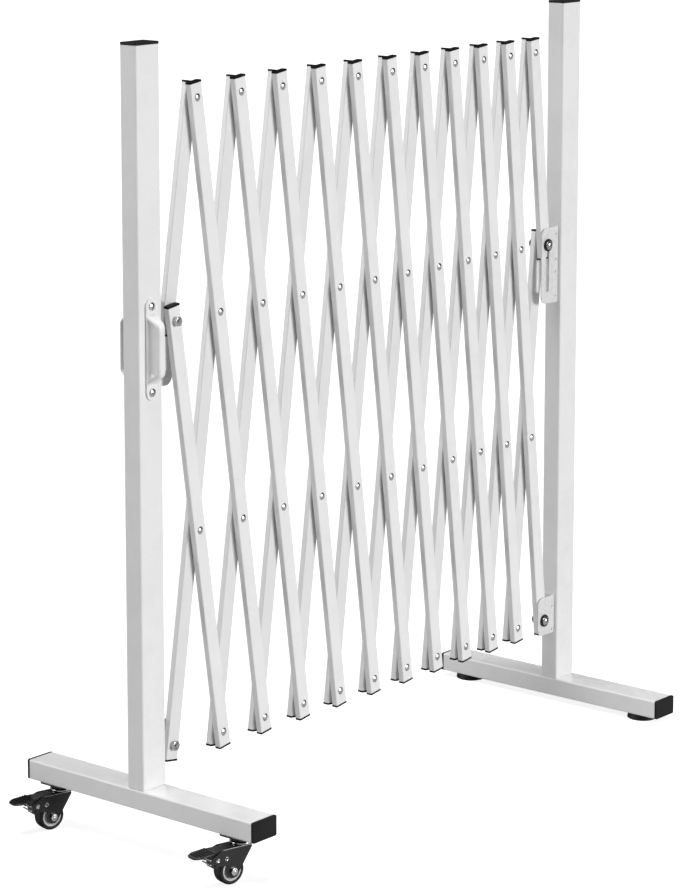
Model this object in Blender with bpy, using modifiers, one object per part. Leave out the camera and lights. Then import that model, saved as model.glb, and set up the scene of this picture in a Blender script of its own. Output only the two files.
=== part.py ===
"""Expandable safety barrier: a riveted scissor lattice between two posts, one on casters, one on rubber feet.

X runs along the barrier from the caster stand to the fixed stand, -Y is the front, Z is up.
Lengths are metres.
"""
import math

import bmesh
import bpy
from mathutils import Matrix, Vector

# Overall layout
BARRIER_HEIGHT = 1.187
PIVOT_SPACING = 0.321
LEFT_HALF_PITCH = 0.0489
RIGHT_HALF_PITCH = 0.0325
FULL_BARS = 10
PIVOT_ROWS = 4
LOWER_PIN_HEIGHT = 0.148
PIN_TO_POST = 0.031
FIT_GAP = 0.0003
OVERRUN = 0.004
WELD_DISTANCE = 0.000005
CORNER_ANGLE = math.radians(50)
SMOOTH_ANGLE = math.radians(35)
BEVEL_SHAPE = 0.5

# Lattice bars
BAR_WIDTH = 0.024
BAR_DEPTH = 0.010
BAR_WALL = 0.0009
BAR_CORNER = 0.0014
BAR_END_MARGIN = 0.021
LAYER_GAP = 0.003
PLUG_FLANGE = 0.002
PLUG_DEPTH = 0.008
PLUG_OVERHANG = 0.0004

# Rivets
RIVET_RADIUS = 0.0025
RIVET_HEAD_RADIUS = 0.006
RIVET_HEAD_HEIGHT = 0.0021
RIVET_CROWN_SHARE = 0.55
RIVET_TAIL_RADIUS = 0.0048
RIVET_TAIL_HEIGHT = 0.0014
SPACER_RADIUS = 0.005
RIVET_PLAY = 0.00145
RIVET_SIDES = 6
HOLE_SIDES = 8

# Pivot bolts of the brackets
BOLT_RADIUS = 0.004
BOLT_CLEARANCE = 0.0004
BOLT_HEAD_RADIUS = 0.0075
BOLT_HEAD_HEIGHT = 0.004
BOLT_CROWN_SHARE = 0.6
BOLT_TIP = 0.0015
WASHER_RADIUS = 0.0102
WASHER_THICKNESS = 0.003
NUT_RADIUS = 0.0074
NUT_HEIGHT = 0.0065
BOLT_SIDES = 10
NUT_SIDES = 6

# Posts and feet
POST_WIDTH = 0.048
POST_DEPTH = 0.032
POST_WALL = 0.0015
POST_CAP_THICKNESS = 0.004
FOOT_WIDTH = 0.050
FOOT_HEIGHT = 0.030
FOOT_LENGTH = 0.450
FOOT_WALL = 0.0015
FOOT_CAP_THICKNESS = 0.004
TUBE_CORNER = 0.003
CORNER_STEPS = 2
CAP_PLUG_DEPTH = 0.012
CAP_EDGE = 0.0012

# Brackets
PLATE_THICKNESS = 0.0025
PLATE_GAP = 0.0012
PLATE_SETBACK = 0.0045
PLATE_REACH = 0.047
PLATE_CORNER = 0.010
FLANGE_LENGTH = 0.022
UPPER_PLATE_ABOVE = 0.028
UPPER_PLATE_BELOW = 0.098
LOWER_PLATE_ABOVE = 0.039
LOWER_PLATE_BELOW = 0.026
SLOT_PLAY = 0.0012
SLOT_ABOVE = 0.0055
SLOT_BELOW = 0.074
ARC_STEPS = 4
DIMPLE_RADIUS = 0.0018
DIMPLE_DEPTH = 0.0006
DIMPLE_SIDES = 6
DIMPLE_TO_POST = 0.008
UPPER_DIMPLE_SHARES = (0.90, 0.57, 0.40, 0.07)
LOWER_DIMPLE_SHARES = (0.71, 0.10)

# Pull handles
HANDLE_CENTRE_HEIGHT = 0.749
HANDLE_HOLE_SPACING = 0.1246
HANDLE_WIDTH = 0.022
HANDLE_THICKNESS = 0.0025
HANDLE_PROJECTION = 0.0225
HANDLE_EAR_RUN = 0.012
HANDLE_SLOPE_RUN = 0.013
SCREW_RADIUS = 0.002
SCREW_HEAD_RADIUS = 0.0046
SCREW_HEAD_HEIGHT = 0.002
SCREW_LENGTH = 0.009
SCREW_SIDES = 8

# Casters
CASTER_HEIGHT = 0.070
CASTER_INSET = 0.045
CASTER_TURN = math.radians(-14)
CASTER_TRAIL = 0.022
WHEEL_RADIUS = 0.021
WHEEL_WIDTH = 0.018
TREAD_SHOULDER = 0.0035
HUB_RADIUS = 0.0155
HUB_RIM = 0.0025
HUB_RECESS = 0.003
HUB_BOSS_RADIUS = 0.006
WHEEL_STEPS = 16
AXLE_RADIUS = 0.003
AXLE_NUT_RADIUS = 0.0058
AXLE_NUT_HEIGHT = 0.004
AXLE_SIDES = 8
MOUNT_PLATE_SIZE = 0.046
MOUNT_PLATE_THICKNESS = 0.003
RACEWAY_RADIUS = 0.017
RACEWAY_DROP = 0.009
RACEWAY_SIDES = 16
KINGPIN_RADIUS = 0.004
FORK_SHEET = 0.002
WHEEL_SIDE_GAP = 0.0015
FORK_HEEL = 0.010
FORK_HEEL_DROP = 0.006
FORK_NOSE_REACH = 0.036
FORK_NOSE_HEIGHT = 0.010
FORK_TIP_RADIUS = 0.010
FORK_TIP_END = 340
FORK_TOP_RUN = 0.034

# Brake pedals
PEDAL_PIN_REACH = 0.026
PEDAL_PIN_DROP = 0.0154
PEDAL_PIN_RADIUS = 0.002
PEDAL_PIN_HEAD_RADIUS = 0.0034
PEDAL_PIN_HEAD = 0.0012
SECOND_RIVET_SHARE = 0.6
PEDAL_TIP_REACH = 0.065
PEDAL_TIP_DROP = 0.005
PEDAL_THICKNESS = 0.003
PEDAL_PAD_LENGTH = 0.026
PEDAL_PAD_WIDTH = 0.032
PEDAL_PAD_CORNER = 0.006
PEDAL_ROOT_REACH = 0.0085
PEDAL_SIDE_GAP = 0.0006
PEDAL_EYE_RADIUS = 0.0045
PEDAL_RIBS = 4
PEDAL_RIB_HEIGHT = 0.0008
PEDAL_RIB_SHARE = 0.4
SHOE_REACH = 0.013
SHOE_TOE = 0.0037
SHOE_THICKNESS = 0.005

# Rubber feet
PAD_HEIGHT = 0.010
PAD_RADIUS = 0.025
PAD_TAPER = 0.0015
PAD_INSET = 0.045
PAD_STEPS = 20

# Worked out from the sizes above
LAST_ROW = PIVOT_ROWS - 1
LAST_STEP = 2 * FULL_BARS + 1
PITCH_CHANGE = (RIGHT_HALF_PITCH - LEFT_HALF_PITCH) / (LAST_STEP + 1)
FIRST_PITCH = LEFT_HALF_PITCH + PITCH_CHANGE
LAYER_CENTRE = (LAYER_GAP + BAR_DEPTH) / 2
LATTICE_HALF = LAYER_GAP / 2 + BAR_DEPTH
LAST_COLUMN = FULL_BARS
PLATE_FRONT = LATTICE_HALF + PLATE_GAP + PLATE_THICKNESS
POST_OFFSET = PLATE_FRONT + PLATE_SETBACK - POST_DEPTH / 2
POST_TOP = BARRIER_HEIGHT - POST_CAP_THICKNESS
FORK_INNER = WHEEL_WIDTH + 2 * WHEEL_SIDE_GAP
FORK_OUTER = FORK_INNER + 2 * FORK_SHEET
FORK_TOP = CASTER_HEIGHT - MOUNT_PLATE_THICKNESS - RACEWAY_DROP - 2 * FIT_GAP
PEDAL_TOP = FORK_TOP - FIT_GAP
PEDAL_PIN_HEIGHT = FORK_TOP - PEDAL_PIN_DROP
PEDAL_ROOT_X = PEDAL_ROOT_REACH + CASTER_TRAIL / 2
FRONT, BACK = -1, 1


def make_collection(name):
    collection = bpy.data.collections.new(name)
    bpy.context.scene.collection.children.link(collection)
    return collection


def make_material(name, colour, roughness, metallic=0.0):
    material = bpy.data.materials.new(name)
    material.use_nodes = True
    material.diffuse_color = (*colour, 1)
    shader = material.node_tree.nodes["Principled BSDF"]
    shader.inputs["Base Color"].default_value = (*colour, 1)
    shader.inputs["Roughness"].default_value = roughness
    shader.inputs["Metallic"].default_value = metallic
    return material


def rotation_to(axis):
    """Matrix that turns +Z to the named axis, with Z up in the plane where it can be."""
    quarter = math.pi / 2
    return {
        "Z": Matrix.Identity(4),
        "Y": Matrix.Rotation(-quarter, 4, "X"),
        "-Y": Matrix.Rotation(quarter, 4, "X"),
        "X": Matrix.Rotation(quarter, 4, "Y"),
    }[axis]


def to_object(name, bm, collection):
    mesh = bpy.data.meshes.new(name)
    bm.to_mesh(mesh)
    bm.free()
    obj = bpy.data.objects.new(name, mesh)
    collection.objects.link(obj)
    return obj


def add_box(bm, size, centre):
    matrix = Matrix.Translation(centre) @ Matrix.Diagonal((*size, 1))
    bmesh.ops.create_cube(bm, size=1, matrix=matrix)


def add_cylinder(bm, radius, start, end, centre=(0, 0, 0), axis="Z", sides=BOLT_SIDES, radius_end=None):
    """A closed cylinder or cone that runs from start to end along the axis, through the centre."""
    middle = Matrix.Translation((0, 0, (start + end) / 2))
    bmesh.ops.create_cone(
        bm, cap_ends=True, segments=sides, radius1=radius,
        radius2=radius if radius_end is None else radius_end,
        depth=end - start, matrix=Matrix.Translation(centre) @ rotation_to(axis) @ middle)


def box(name, size, centre, collection):
    bm = bmesh.new()
    add_box(bm, size, centre)
    return to_object(name, bm, collection)


def cylinder(name, radius, start, end, collection, **options):
    bm = bmesh.new()
    add_cylinder(bm, radius, start, end, **options)
    return to_object(name, bm, collection)


def freeze(obj):
    """Replace the object's data by its evaluated, welded mesh and drop its modifiers."""
    depsgraph = bpy.context.evaluated_depsgraph_get()
    mesh = bpy.data.meshes.new_from_object(obj.evaluated_get(depsgraph))
    bm = bmesh.new()
    bm.from_mesh(mesh)
    bmesh.ops.remove_doubles(bm, verts=bm.verts, dist=WELD_DISTANCE)
    bm.to_mesh(mesh)
    bm.free()
    frozen = bpy.data.objects.new(obj.name, mesh)
    frozen.matrix_world = obj.matrix_world
    for collection in obj.users_collection:
        collection.objects.link(frozen)
    name = obj.name
    bpy.data.objects.remove(obj)
    frozen.name = name
    return frozen


def extruded(name, loops, length, axis, collection, start=None):
    """Flat outline, with holes as further loops, drawn square to the axis and thickened along it."""
    curve = bpy.data.curves.new(name, "CURVE")
    curve.dimensions = "2D"
    curve.fill_mode = "BOTH"
    curve.extrude = length / 2
    for loop in loops:
        spline = curve.splines.new("POLY")
        spline.points.add(len(loop) - 1)
        for point, (x, y) in zip(spline.points, loop):
            point.co = (x, y, 0, 1)
        spline.use_cyclic_u = True
    obj = bpy.data.objects.new(name, curve)
    collection.objects.link(obj)
    obj = freeze(obj)
    middle = 0 if start is None else start + length / 2
    obj.data.transform(rotation_to(axis) @ Matrix.Translation((0, 0, middle)))
    return obj


def turned(name, profile, steps, axis, collection, closed=False):
    """Solid of revolution from (radius, height) points that run down the outer side."""
    mesh = bpy.data.meshes.new(name)
    count = len(profile)
    edges = [(i, i + 1) for i in range(count - 1)]
    if closed:
        edges.append((count - 1, 0))
    mesh.from_pydata([(radius, 0, height) for radius, height in profile], edges, [])
    obj = bpy.data.objects.new(name, mesh)
    collection.objects.link(obj)
    screw = obj.modifiers.new("turn", "SCREW")
    screw.axis = "Z"
    screw.angle = math.tau
    screw.steps = steps
    screw.render_steps = steps
    screw.use_merge_vertices = True
    screw.merge_threshold = WELD_DISTANCE
    obj = freeze(obj)
    obj.data.transform(rotation_to(axis))
    return obj


def combine(target, tool, operation):
    """Cut, join or intersect two meshes for good, and remove the tool."""
    modifier = target.modifiers.new(operation.lower(), "BOOLEAN")
    modifier.operation = operation
    modifier.solver = "EXACT"
    modifier.object = tool
    target = freeze(target)
    bpy.data.objects.remove(tool)
    return target


def cut(target, tool):
    return combine(target, tool, "DIFFERENCE")


def join(target, tool):
    return combine(target, tool, "UNION")


def bevel_edges(obj, width, segments, choose):
    """Round the corner edges that the choose test picks."""
    bm = bmesh.new()
    bm.from_mesh(obj.data)
    edges = [edge for edge in bm.edges if edge.calc_face_angle() > CORNER_ANGLE and choose(edge)]
    bmesh.ops.bevel(bm, geom=edges, offset=width, segments=segments, profile=BEVEL_SHAPE, affect="EDGES")
    bm.to_mesh(obj.data)
    bm.free()


def arc(centre, radius, start, end, steps):
    """Points on an arc, ends included, by angle in degrees."""
    angles = [math.radians(start + (end - start) * i / steps) for i in range(steps + 1)]
    return [(centre[0] + radius * math.cos(a), centre[1] + radius * math.sin(a)) for a in angles]


def rounded_rectangle(width, height, radius, steps=CORNER_STEPS):
    """Anticlockwise outline about the origin with four round corners."""
    inner_x, inner_y = width / 2 - radius, height / 2 - radius
    corners = ((inner_x, inner_y), (-inner_x, inner_y), (-inner_x, -inner_y), (inner_x, -inner_y))
    points = []
    for index, centre in enumerate(corners):
        points += arc(centre, radius, 90 * index, 90 * (index + 1), steps)
    return points


def finish(obj, name, material, parent, location=(0, 0, 0), turn=(0, 0, 0)):
    """Name, colour, shade and place a finished piece in the barrier's collection."""
    obj.name = name
    obj.data.name = name
    obj.data.materials.clear()
    obj.data.materials.append(material)
    obj.data.shade_smooth()
    obj.data.set_sharp_from_angle(angle=SMOOTH_ANGLE)
    for collection in list(obj.users_collection):
        collection.objects.unlink(obj)
    barrier.objects.link(obj)
    obj.parent = parent
    obj.location = location
    obj.rotation_euler = turn


def empty(name, parent, location, turn=(0, 0, 0)):
    obj = bpy.data.objects.new(name, None)
    barrier.objects.link(obj)
    obj.parent = parent
    obj.location = location
    obj.rotation_euler = turn
    return obj


def crossing(step, row):
    """Ideal place of a crossing; steps count half pitches from the first full column, rows from the top."""
    half_pitch = FIRST_PITCH + PITCH_CHANGE * step
    edge_row = 1 if row in (0, LAST_ROW) else -1
    x = (FIRST_PITCH + PITCH_CHANGE * step / 2) * step - edge_row * PITCH_CHANGE / 2
    rise = math.sqrt(PIVOT_SPACING ** 2 - half_pitch ** 2)
    return Vector((x, 0, LOWER_PIN_HEIGHT + (LAST_ROW - row) * rise))


def bar_line(layer, column):
    """Straight bar laid through its crossings: a point for each row, and its tilt. Front bars lean left."""
    way = 1 if layer == FRONT else -1
    ideal = [crossing(2 * column + way * row, row) for row in range(PIVOT_ROWS)]
    tilt = math.asin((ideal[-1].x - ideal[0].x) / (LAST_ROW * PIVOT_SPACING))
    centre = sum(ideal, Vector()) / PIVOT_ROWS
    down = PIVOT_SPACING * Vector((math.sin(tilt), 0, -math.cos(tilt)))
    return [centre + (row - LAST_ROW / 2) * down for row in range(PIVOT_ROWS)], tilt


# Rivet: domed head in front, shank, spacer between the layers, flat tail behind. It stays in its front bar.
def rivet_profile():
    front, behind = LATTICE_HALF, -LATTICE_HALF
    seat = front - BAR_WALL / 2
    spacer = LAYER_GAP / 2 - FIT_GAP
    tail = behind - FIT_GAP
    return [
        (0, front + RIVET_HEAD_HEIGHT),
        (RIVET_HEAD_RADIUS * RIVET_CROWN_SHARE, front + RIVET_HEAD_HEIGHT),
        (RIVET_HEAD_RADIUS, seat),
        (RIVET_RADIUS, seat),
        (RIVET_RADIUS, spacer),
        (SPACER_RADIUS, spacer),
        (SPACER_RADIUS, -spacer),
        (RIVET_RADIUS, -spacer),
        (RIVET_RADIUS, tail),
        (RIVET_TAIL_RADIUS, tail),
        (RIVET_TAIL_RADIUS, tail - RIVET_TAIL_HEIGHT),
        (0, tail - RIVET_TAIL_HEIGHT)]


def rivets_at(places):
    """All rivets of one bar in one mesh."""
    single = turned("rivet", rivet_profile(), RIVET_SIDES, "-Y", cutters)
    bm = bmesh.new()
    for height in places:
        single.data.transform(Matrix.Translation((0, 0, height)))
        bm.from_mesh(single.data)
        single.data.transform(Matrix.Translation((0, 0, -height)))
    bpy.data.objects.remove(single)
    return to_object("rivets", bm, cutters)


# Lattice bar: rectangular tube closed by two plastic plugs, with its rivets or its pivot holes
def bar_mesh(layer, rows, origin_row, bolt_row=None):
    """Build one kind of bar upright, with its origin on the pivot of origin_row, and return the mesh."""
    along = {row: (origin_row - row) * PIVOT_SPACING for row in rows}
    top = along[rows[0]] + BAR_END_MARGIN
    bottom = along[rows[-1]] - BAR_END_MARGIN
    centre_y = layer * LAYER_CENTRE
    middle = (top + bottom) / 2
    tube = box("bar", (BAR_WIDTH, BAR_DEPTH, top - bottom), (0, centre_y, middle), cutters)
    bevel_edges(tube, BAR_CORNER, 1, lambda edge: abs(edge.verts[0].co.z - edge.verts[1].co.z) > BAR_WIDTH)
    hollow = (BAR_WIDTH - 2 * BAR_WALL, BAR_DEPTH - 2 * BAR_WALL, top - bottom - 2 * PLUG_DEPTH)
    tube = cut(tube, box("hollow", hollow, (0, centre_y, middle), cutters))

    holes = bmesh.new()
    for row in rows:
        if row == bolt_row:
            radius, sides = BOLT_RADIUS + BOLT_CLEARANCE, BOLT_SIDES
        else:
            radius, sides = RIVET_RADIUS + RIVET_PLAY, HOLE_SIDES
        start, end = centre_y - BAR_DEPTH, centre_y + BAR_DEPTH
        if layer == FRONT and row != bolt_row:
            start = centre_y
        add_cylinder(holes, radius, start, end, (0, 0, along[row]), "Y", sides)
    tube = cut(tube, to_object("holes", holes, cutters))

    flanges = bmesh.new()
    seat = PLUG_FLANGE / 2
    size = (BAR_WIDTH + 2 * PLUG_OVERHANG, BAR_DEPTH + 2 * PLUG_OVERHANG, PLUG_FLANGE + seat)
    for end, way in ((top, 1), (bottom, -1)):
        add_box(flanges, size, (0, centre_y, end + way * (PLUG_FLANGE - seat) / 2))
    tube = join(tube, to_object("flanges", flanges, cutters))

    if layer == FRONT:
        tube = join(tube, rivets_at([along[row] for row in rows if row != bolt_row]))
    mesh = tube.data
    bpy.data.objects.remove(tube)
    return mesh


def build_lattice(parent):
    whole, upper, lower = list(range(PIVOT_ROWS)), [0, 1], list(range(1, PIVOT_ROWS))
    kinds = {
        (FRONT, -1): ("front_bar_left_short", bar_mesh(FRONT, lower, 2, 1), 2),
        (FRONT, LAST_COLUMN): ("front_bar_right_short", bar_mesh(FRONT, upper, 1, 1), 1),
        (BACK, 0): ("back_bar_left_short", bar_mesh(BACK, upper, 1, 1), 1),
        (BACK, LAST_COLUMN + 1): ("back_bar_right_short", bar_mesh(BACK, lower, 2, 1), 2)}
    front_full = bar_mesh(FRONT, whole, 1)
    back_full = bar_mesh(BACK, whole, 2)
    for column in range(FULL_BARS):
        kinds[FRONT, column] = (f"front_bar_{column + 1:02d}", front_full, 1)
        kinds[BACK, column + 1] = (f"back_bar_{column + 1:02d}", back_full, 2)
    kinds[FRONT, LAST_COLUMN - 1] = (f"front_bar_{LAST_COLUMN:02d}", bar_mesh(FRONT, whole, 1, LAST_ROW), 1)
    kinds[BACK, 1] = ("back_bar_01", bar_mesh(BACK, whole, LAST_ROW, LAST_ROW), LAST_ROW)

    for (layer, column), (name, mesh, origin_row) in sorted(kinds.items(), key=lambda item: item[1][0]):
        bar = bpy.data.objects.new(name, mesh)
        cutters.objects.link(bar)
        points, tilt = bar_line(layer, column)
        finish(bar, name, bar_white, parent, points[origin_row], (0, -tilt, 0))


# Pivot bolt: domed head on a thick washer before the plate, nut behind the last bar
def bolt_mesh(nut_face):
    """Bolt along Y with its head in front; nut_face is where the last bar ends."""
    washer = PLATE_FRONT + FIT_GAP
    head = washer + WASHER_THICKNESS
    end = -(nut_face + FIT_GAP + NUT_HEIGHT + BOLT_TIP)
    profile = [
        (0, head + BOLT_HEAD_HEIGHT),
        (BOLT_HEAD_RADIUS * BOLT_CROWN_SHARE, head + BOLT_HEAD_HEIGHT),
        (BOLT_HEAD_RADIUS, head + BOLT_HEAD_HEIGHT * (1 - BOLT_CROWN_SHARE)),
        (BOLT_HEAD_RADIUS, head),
        (WASHER_RADIUS, head),
        (WASHER_RADIUS, washer),
        (BOLT_RADIUS, washer),
        (BOLT_RADIUS, end),
        (0, end)]
    bolt = turned("bolt", profile, BOLT_SIDES, "-Y", cutters)
    start = nut_face + FIT_GAP
    nut = cylinder("nut", NUT_RADIUS, start, start + NUT_HEIGHT, cutters, axis="Y", sides=NUT_SIDES)
    bolt = join(bolt, nut)
    mesh = bolt.data
    bpy.data.objects.remove(bolt)
    return mesh


def build_bolts(parent, pins):
    long_bolt = bolt_mesh(LATTICE_HALF)
    short_bolt = bolt_mesh(-LAYER_GAP / 2)
    for side, turn in (("left", math.pi), ("right", 0)):
        for level, mesh in (("upper", long_bolt), ("lower", short_bolt)):
            name = f"{side}_{level}_pivot_bolt"
            bolt = bpy.data.objects.new(name, mesh)
            cutters.objects.link(bolt)
            finish(bolt, name, zinc, parent, pins[side, level], (0, 0, turn))


# Bracket: angled sheet plate, one leg against the post, the other before the end bars
def bracket_mesh(above, below, slot_above, slot_below, play, dimple_shares):
    """Right-hand bracket with its origin on the pin; +X is towards the post."""
    post_face = PIN_TO_POST - FIT_GAP
    free_edge = PIN_TO_POST - PLATE_REACH
    front, inside = -PLATE_FRONT, -PLATE_FRONT + PLATE_THICKNESS
    angle = [
        (free_edge, front), (post_face, front), (post_face, front + FLANGE_LENGTH),
        (post_face - PLATE_THICKNESS, front + FLANGE_LENGTH), (post_face - PLATE_THICKNESS, inside),
        (free_edge, inside)]
    bracket = extruded("angle", [angle], above + below, "Z", cutters, start=-below)

    slot = BOLT_RADIUS + play
    outline = [
        (post_face + OVERRUN, -below), (post_face + OVERRUN, above),
        *arc((free_edge + PLATE_CORNER, above - PLATE_CORNER), PLATE_CORNER, 90, 180, ARC_STEPS),
        *arc((free_edge + PLATE_CORNER, PLATE_CORNER - below), PLATE_CORNER, 180, 270, ARC_STEPS)]
    hole = arc((0, slot_above), slot, 0, 180, ARC_STEPS) + arc((0, -slot_below), slot, 180, 360, ARC_STEPS)
    if slot_above == slot_below:
        hole = arc((0, 0), slot, 0, 360, BOLT_SIDES)[:-1]
    face = extruded("face", [outline, hole], 2 * FLANGE_LENGTH + 2 * PLATE_FRONT, "-Y", cutters)
    bracket = combine(bracket, face, "INTERSECT")

    dimples = bmesh.new()
    for share in dimple_shares:
        height = share * (above + below) - below
        centre = (post_face - DIMPLE_TO_POST, front, height)
        add_cylinder(dimples, DIMPLE_RADIUS / 2, -DIMPLE_DEPTH, DIMPLE_DEPTH, centre, "-Y",
                     DIMPLE_SIDES, DIMPLE_RADIUS + DIMPLE_RADIUS / 2)
    bracket = cut(bracket, to_object("dimples", dimples, cutters))
    mesh = bracket.data
    bpy.data.objects.remove(bracket)
    return mesh


def build_brackets(parent, pins):
    """The plates stand in line above each other; the upper pin slides in its slot with more play."""
    upper = bracket_mesh(
        UPPER_PLATE_ABOVE, UPPER_PLATE_BELOW, SLOT_ABOVE, SLOT_BELOW, SLOT_PLAY, UPPER_DIMPLE_SHARES)
    lower = bracket_mesh(LOWER_PLATE_ABOVE, LOWER_PLATE_BELOW, 0, 0, BOLT_CLEARANCE, LOWER_DIMPLE_SHARES)
    for side, turn in (("left", math.pi), ("right", 0)):
        for level, mesh in (("upper", upper), ("lower", lower)):
            name = f"{side}_{level}_bracket"
            bracket = bpy.data.objects.new(name, mesh)
            cutters.objects.link(bracket)
            place = (pins[side, "lower"].x, 0, pins[side, level].z)
            finish(bracket, name, bracket_white, parent, place, (0, 0, turn))


# Caps for tube ends: a flange on the tube's edge and a plug inside it
def tube_cap(width, height, wall, thickness, axis):
    """Cap that looks along the axis, with its origin on the tube's end."""
    flange = extruded("flange", [rounded_rectangle(width, height, TUBE_CORNER)], thickness - FIT_GAP, axis,
                      cutters, start=FIT_GAP)
    outward = rotation_to(axis).to_3x3() @ Vector((0, 0, 1))
    bevel_edges(flange, CAP_EDGE, 1, lambda edge: all(
        vert.co.dot(outward) > thickness - FIT_GAP for vert in edge.verts))
    inner = 2 * wall + 2 * FIT_GAP
    plug = extruded("plug", [rounded_rectangle(width - inner, height - inner, TUBE_CORNER - wall, 1)],
                    CAP_PLUG_DEPTH + thickness / 2, axis, cutters, start=-CAP_PLUG_DEPTH)
    return join(flange, plug)


def tube(name, width, height, wall, length, axis, start):
    outer = rounded_rectangle(width, height, TUBE_CORNER)
    inner = rounded_rectangle(width - 2 * wall, height - 2 * wall, TUBE_CORNER - wall)
    return extruded(name, [outer, inner[::-1]], length, axis, cutters, start=start)


# Pull handle: bent strap with two ears, each held by a screw through the post's wall
def handle_mesh():
    """Handle on the face at y = 0 that looks to -Y, centred on its origin."""
    half = HANDLE_HOLE_SPACING / 2
    end = half + HANDLE_WIDTH / 2
    ear = half - HANDLE_EAR_RUN
    grip = ear - HANDLE_SLOPE_RUN
    near, far, sheet = FIT_GAP, HANDLE_PROJECTION, HANDLE_THICKNESS
    slope_sheet = sheet * math.hypot(far - near, HANDLE_SLOPE_RUN) / (far - near)
    outer = [(near + sheet, end), (near + sheet, ear), (far - sheet, grip + slope_sheet), (far, grip - sheet)]
    inner = [(near, end), (near, ear - slope_sheet), (far - 2 * sheet, grip), (far - sheet, grip - 2 * sheet)]
    right = outer + [(y, -z) for y, z in reversed(outer)]
    left = inner + [(y, -z) for y, z in reversed(inner)]
    side = [(z, y) for y, z in right + left[::-1]]
    strap = extruded("strap", [side], 2 * HANDLE_WIDTH, "Z", cutters)
    strap.data.transform(Matrix(((0, 0, 1, 0), (0, -1, 0, 0), (1, 0, 0, 0), (0, 0, 0, 1))))

    front = (arc((0, half), HANDLE_WIDTH / 2, 0, 180, 2 * ARC_STEPS)
             + arc((0, -half), HANDLE_WIDTH / 2, 180, 360, 2 * ARC_STEPS))
    stadium = extruded("stadium", [front], 4 * HANDLE_PROJECTION, "-Y", cutters)
    strap = combine(strap, stadium, "INTERSECT")

    face = near + sheet
    for height in (half, -half):
        profile = [
            (0, face + SCREW_HEAD_HEIGHT), (SCREW_HEAD_RADIUS / 2, face + SCREW_HEAD_HEIGHT),
            (SCREW_HEAD_RADIUS, face + SCREW_HEAD_HEIGHT / 2), (SCREW_HEAD_RADIUS, face - sheet / 2),
            (SCREW_RADIUS, face - sheet / 2), (SCREW_RADIUS, face - sheet - SCREW_LENGTH),
            (0, face - sheet - SCREW_LENGTH)]
        screw = turned("screw", profile, SCREW_SIDES, "-Y", cutters)
        screw.data.transform(Matrix.Translation((0, 0, height)))
        strap = join(strap, screw)
    mesh = strap.data
    bpy.data.objects.remove(strap)
    return mesh


def screw_holes(base):
    """Cutter for the handle screws' holes in both walls of the post that stands on base."""
    holes = bmesh.new()
    for way in (1, -1):
        height = HANDLE_CENTRE_HEIGHT + way * HANDLE_HOLE_SPACING / 2 - base
        add_cylinder(holes, SCREW_RADIUS + FIT_GAP, -POST_DEPTH, POST_DEPTH, (0, 0, height), "Y", SCREW_SIDES)
    return to_object("screw holes", holes, cutters)


# Stand: post, foot tube and their caps
def build_stand(parent, side, pin_x, foot_base):
    """Left and right stands face each other; foot_base is the height of the foot tube's underside."""
    way = -1 if side == "left" else 1
    x = pin_x + way * (PIN_TO_POST + POST_WIDTH / 2)
    post_y = -way * POST_OFFSET
    post_base = foot_base + FOOT_HEIGHT + FIT_GAP
    post = tube("post", POST_WIDTH, POST_DEPTH, POST_WALL, POST_TOP - post_base, "Z", 0)
    if side == "left":
        post = cut(post, screw_holes(post_base))
    finish(post, f"{side}_post", post_white, parent, (x, post_y, post_base))
    cap = tube_cap(POST_WIDTH, POST_DEPTH, POST_WALL, POST_CAP_THICKNESS, "Z")
    finish(cap, f"{side}_post_cap", black_plastic, parent, (x, post_y, POST_TOP))

    foot_middle = foot_base + FOOT_HEIGHT / 2
    tube_length = FOOT_LENGTH - 2 * FOOT_CAP_THICKNESS
    foot = tube("foot", FOOT_WIDTH, FOOT_HEIGHT, FOOT_WALL, tube_length, "Y", -tube_length / 2)
    finish(foot, f"{side}_foot", foot_white, parent, (x, 0, foot_middle))
    for end, axis, end_y in (("front", "-Y", -tube_length / 2), ("rear", "Y", tube_length / 2)):
        cap = tube_cap(FOOT_WIDTH, FOOT_HEIGHT, FOOT_WALL, FOOT_CAP_THICKNESS, axis)
        finish(cap, f"{side}_foot_{end}_cap", black_plastic, parent, (x, end_y, foot_middle))
    return x, post_y


def build_handles(parent, x, post_y):
    mesh = handle_mesh()
    for side, turn, face in (("front", 0, -1), ("rear", math.pi, 1)):
        handle = bpy.data.objects.new(f"{side}_pull_handle", mesh)
        cutters.objects.link(handle)
        place_y = post_y + face * POST_DEPTH / 2
        finish(handle, f"{side}_pull_handle", handle_white, parent, (x, place_y, HANDLE_CENTRE_HEIGHT),
               (0, 0, turn))


def build_rubber_feet(parent, x):
    top = PAD_HEIGHT - FIT_GAP
    top_radius = PAD_RADIUS - PAD_TAPER
    profile = [(0, top), (top_radius, top), (PAD_RADIUS, PAD_TAPER), (top_radius, 0), (0, 0)]
    reach = FOOT_LENGTH / 2 - PAD_INSET
    for end, y in (("front", -reach), ("rear", reach)):
        pad = turned("pad", profile, PAD_STEPS, "Z", cutters)
        finish(pad, f"{end}_rubber_foot", black_rubber, parent, (x, y, 0))


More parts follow.
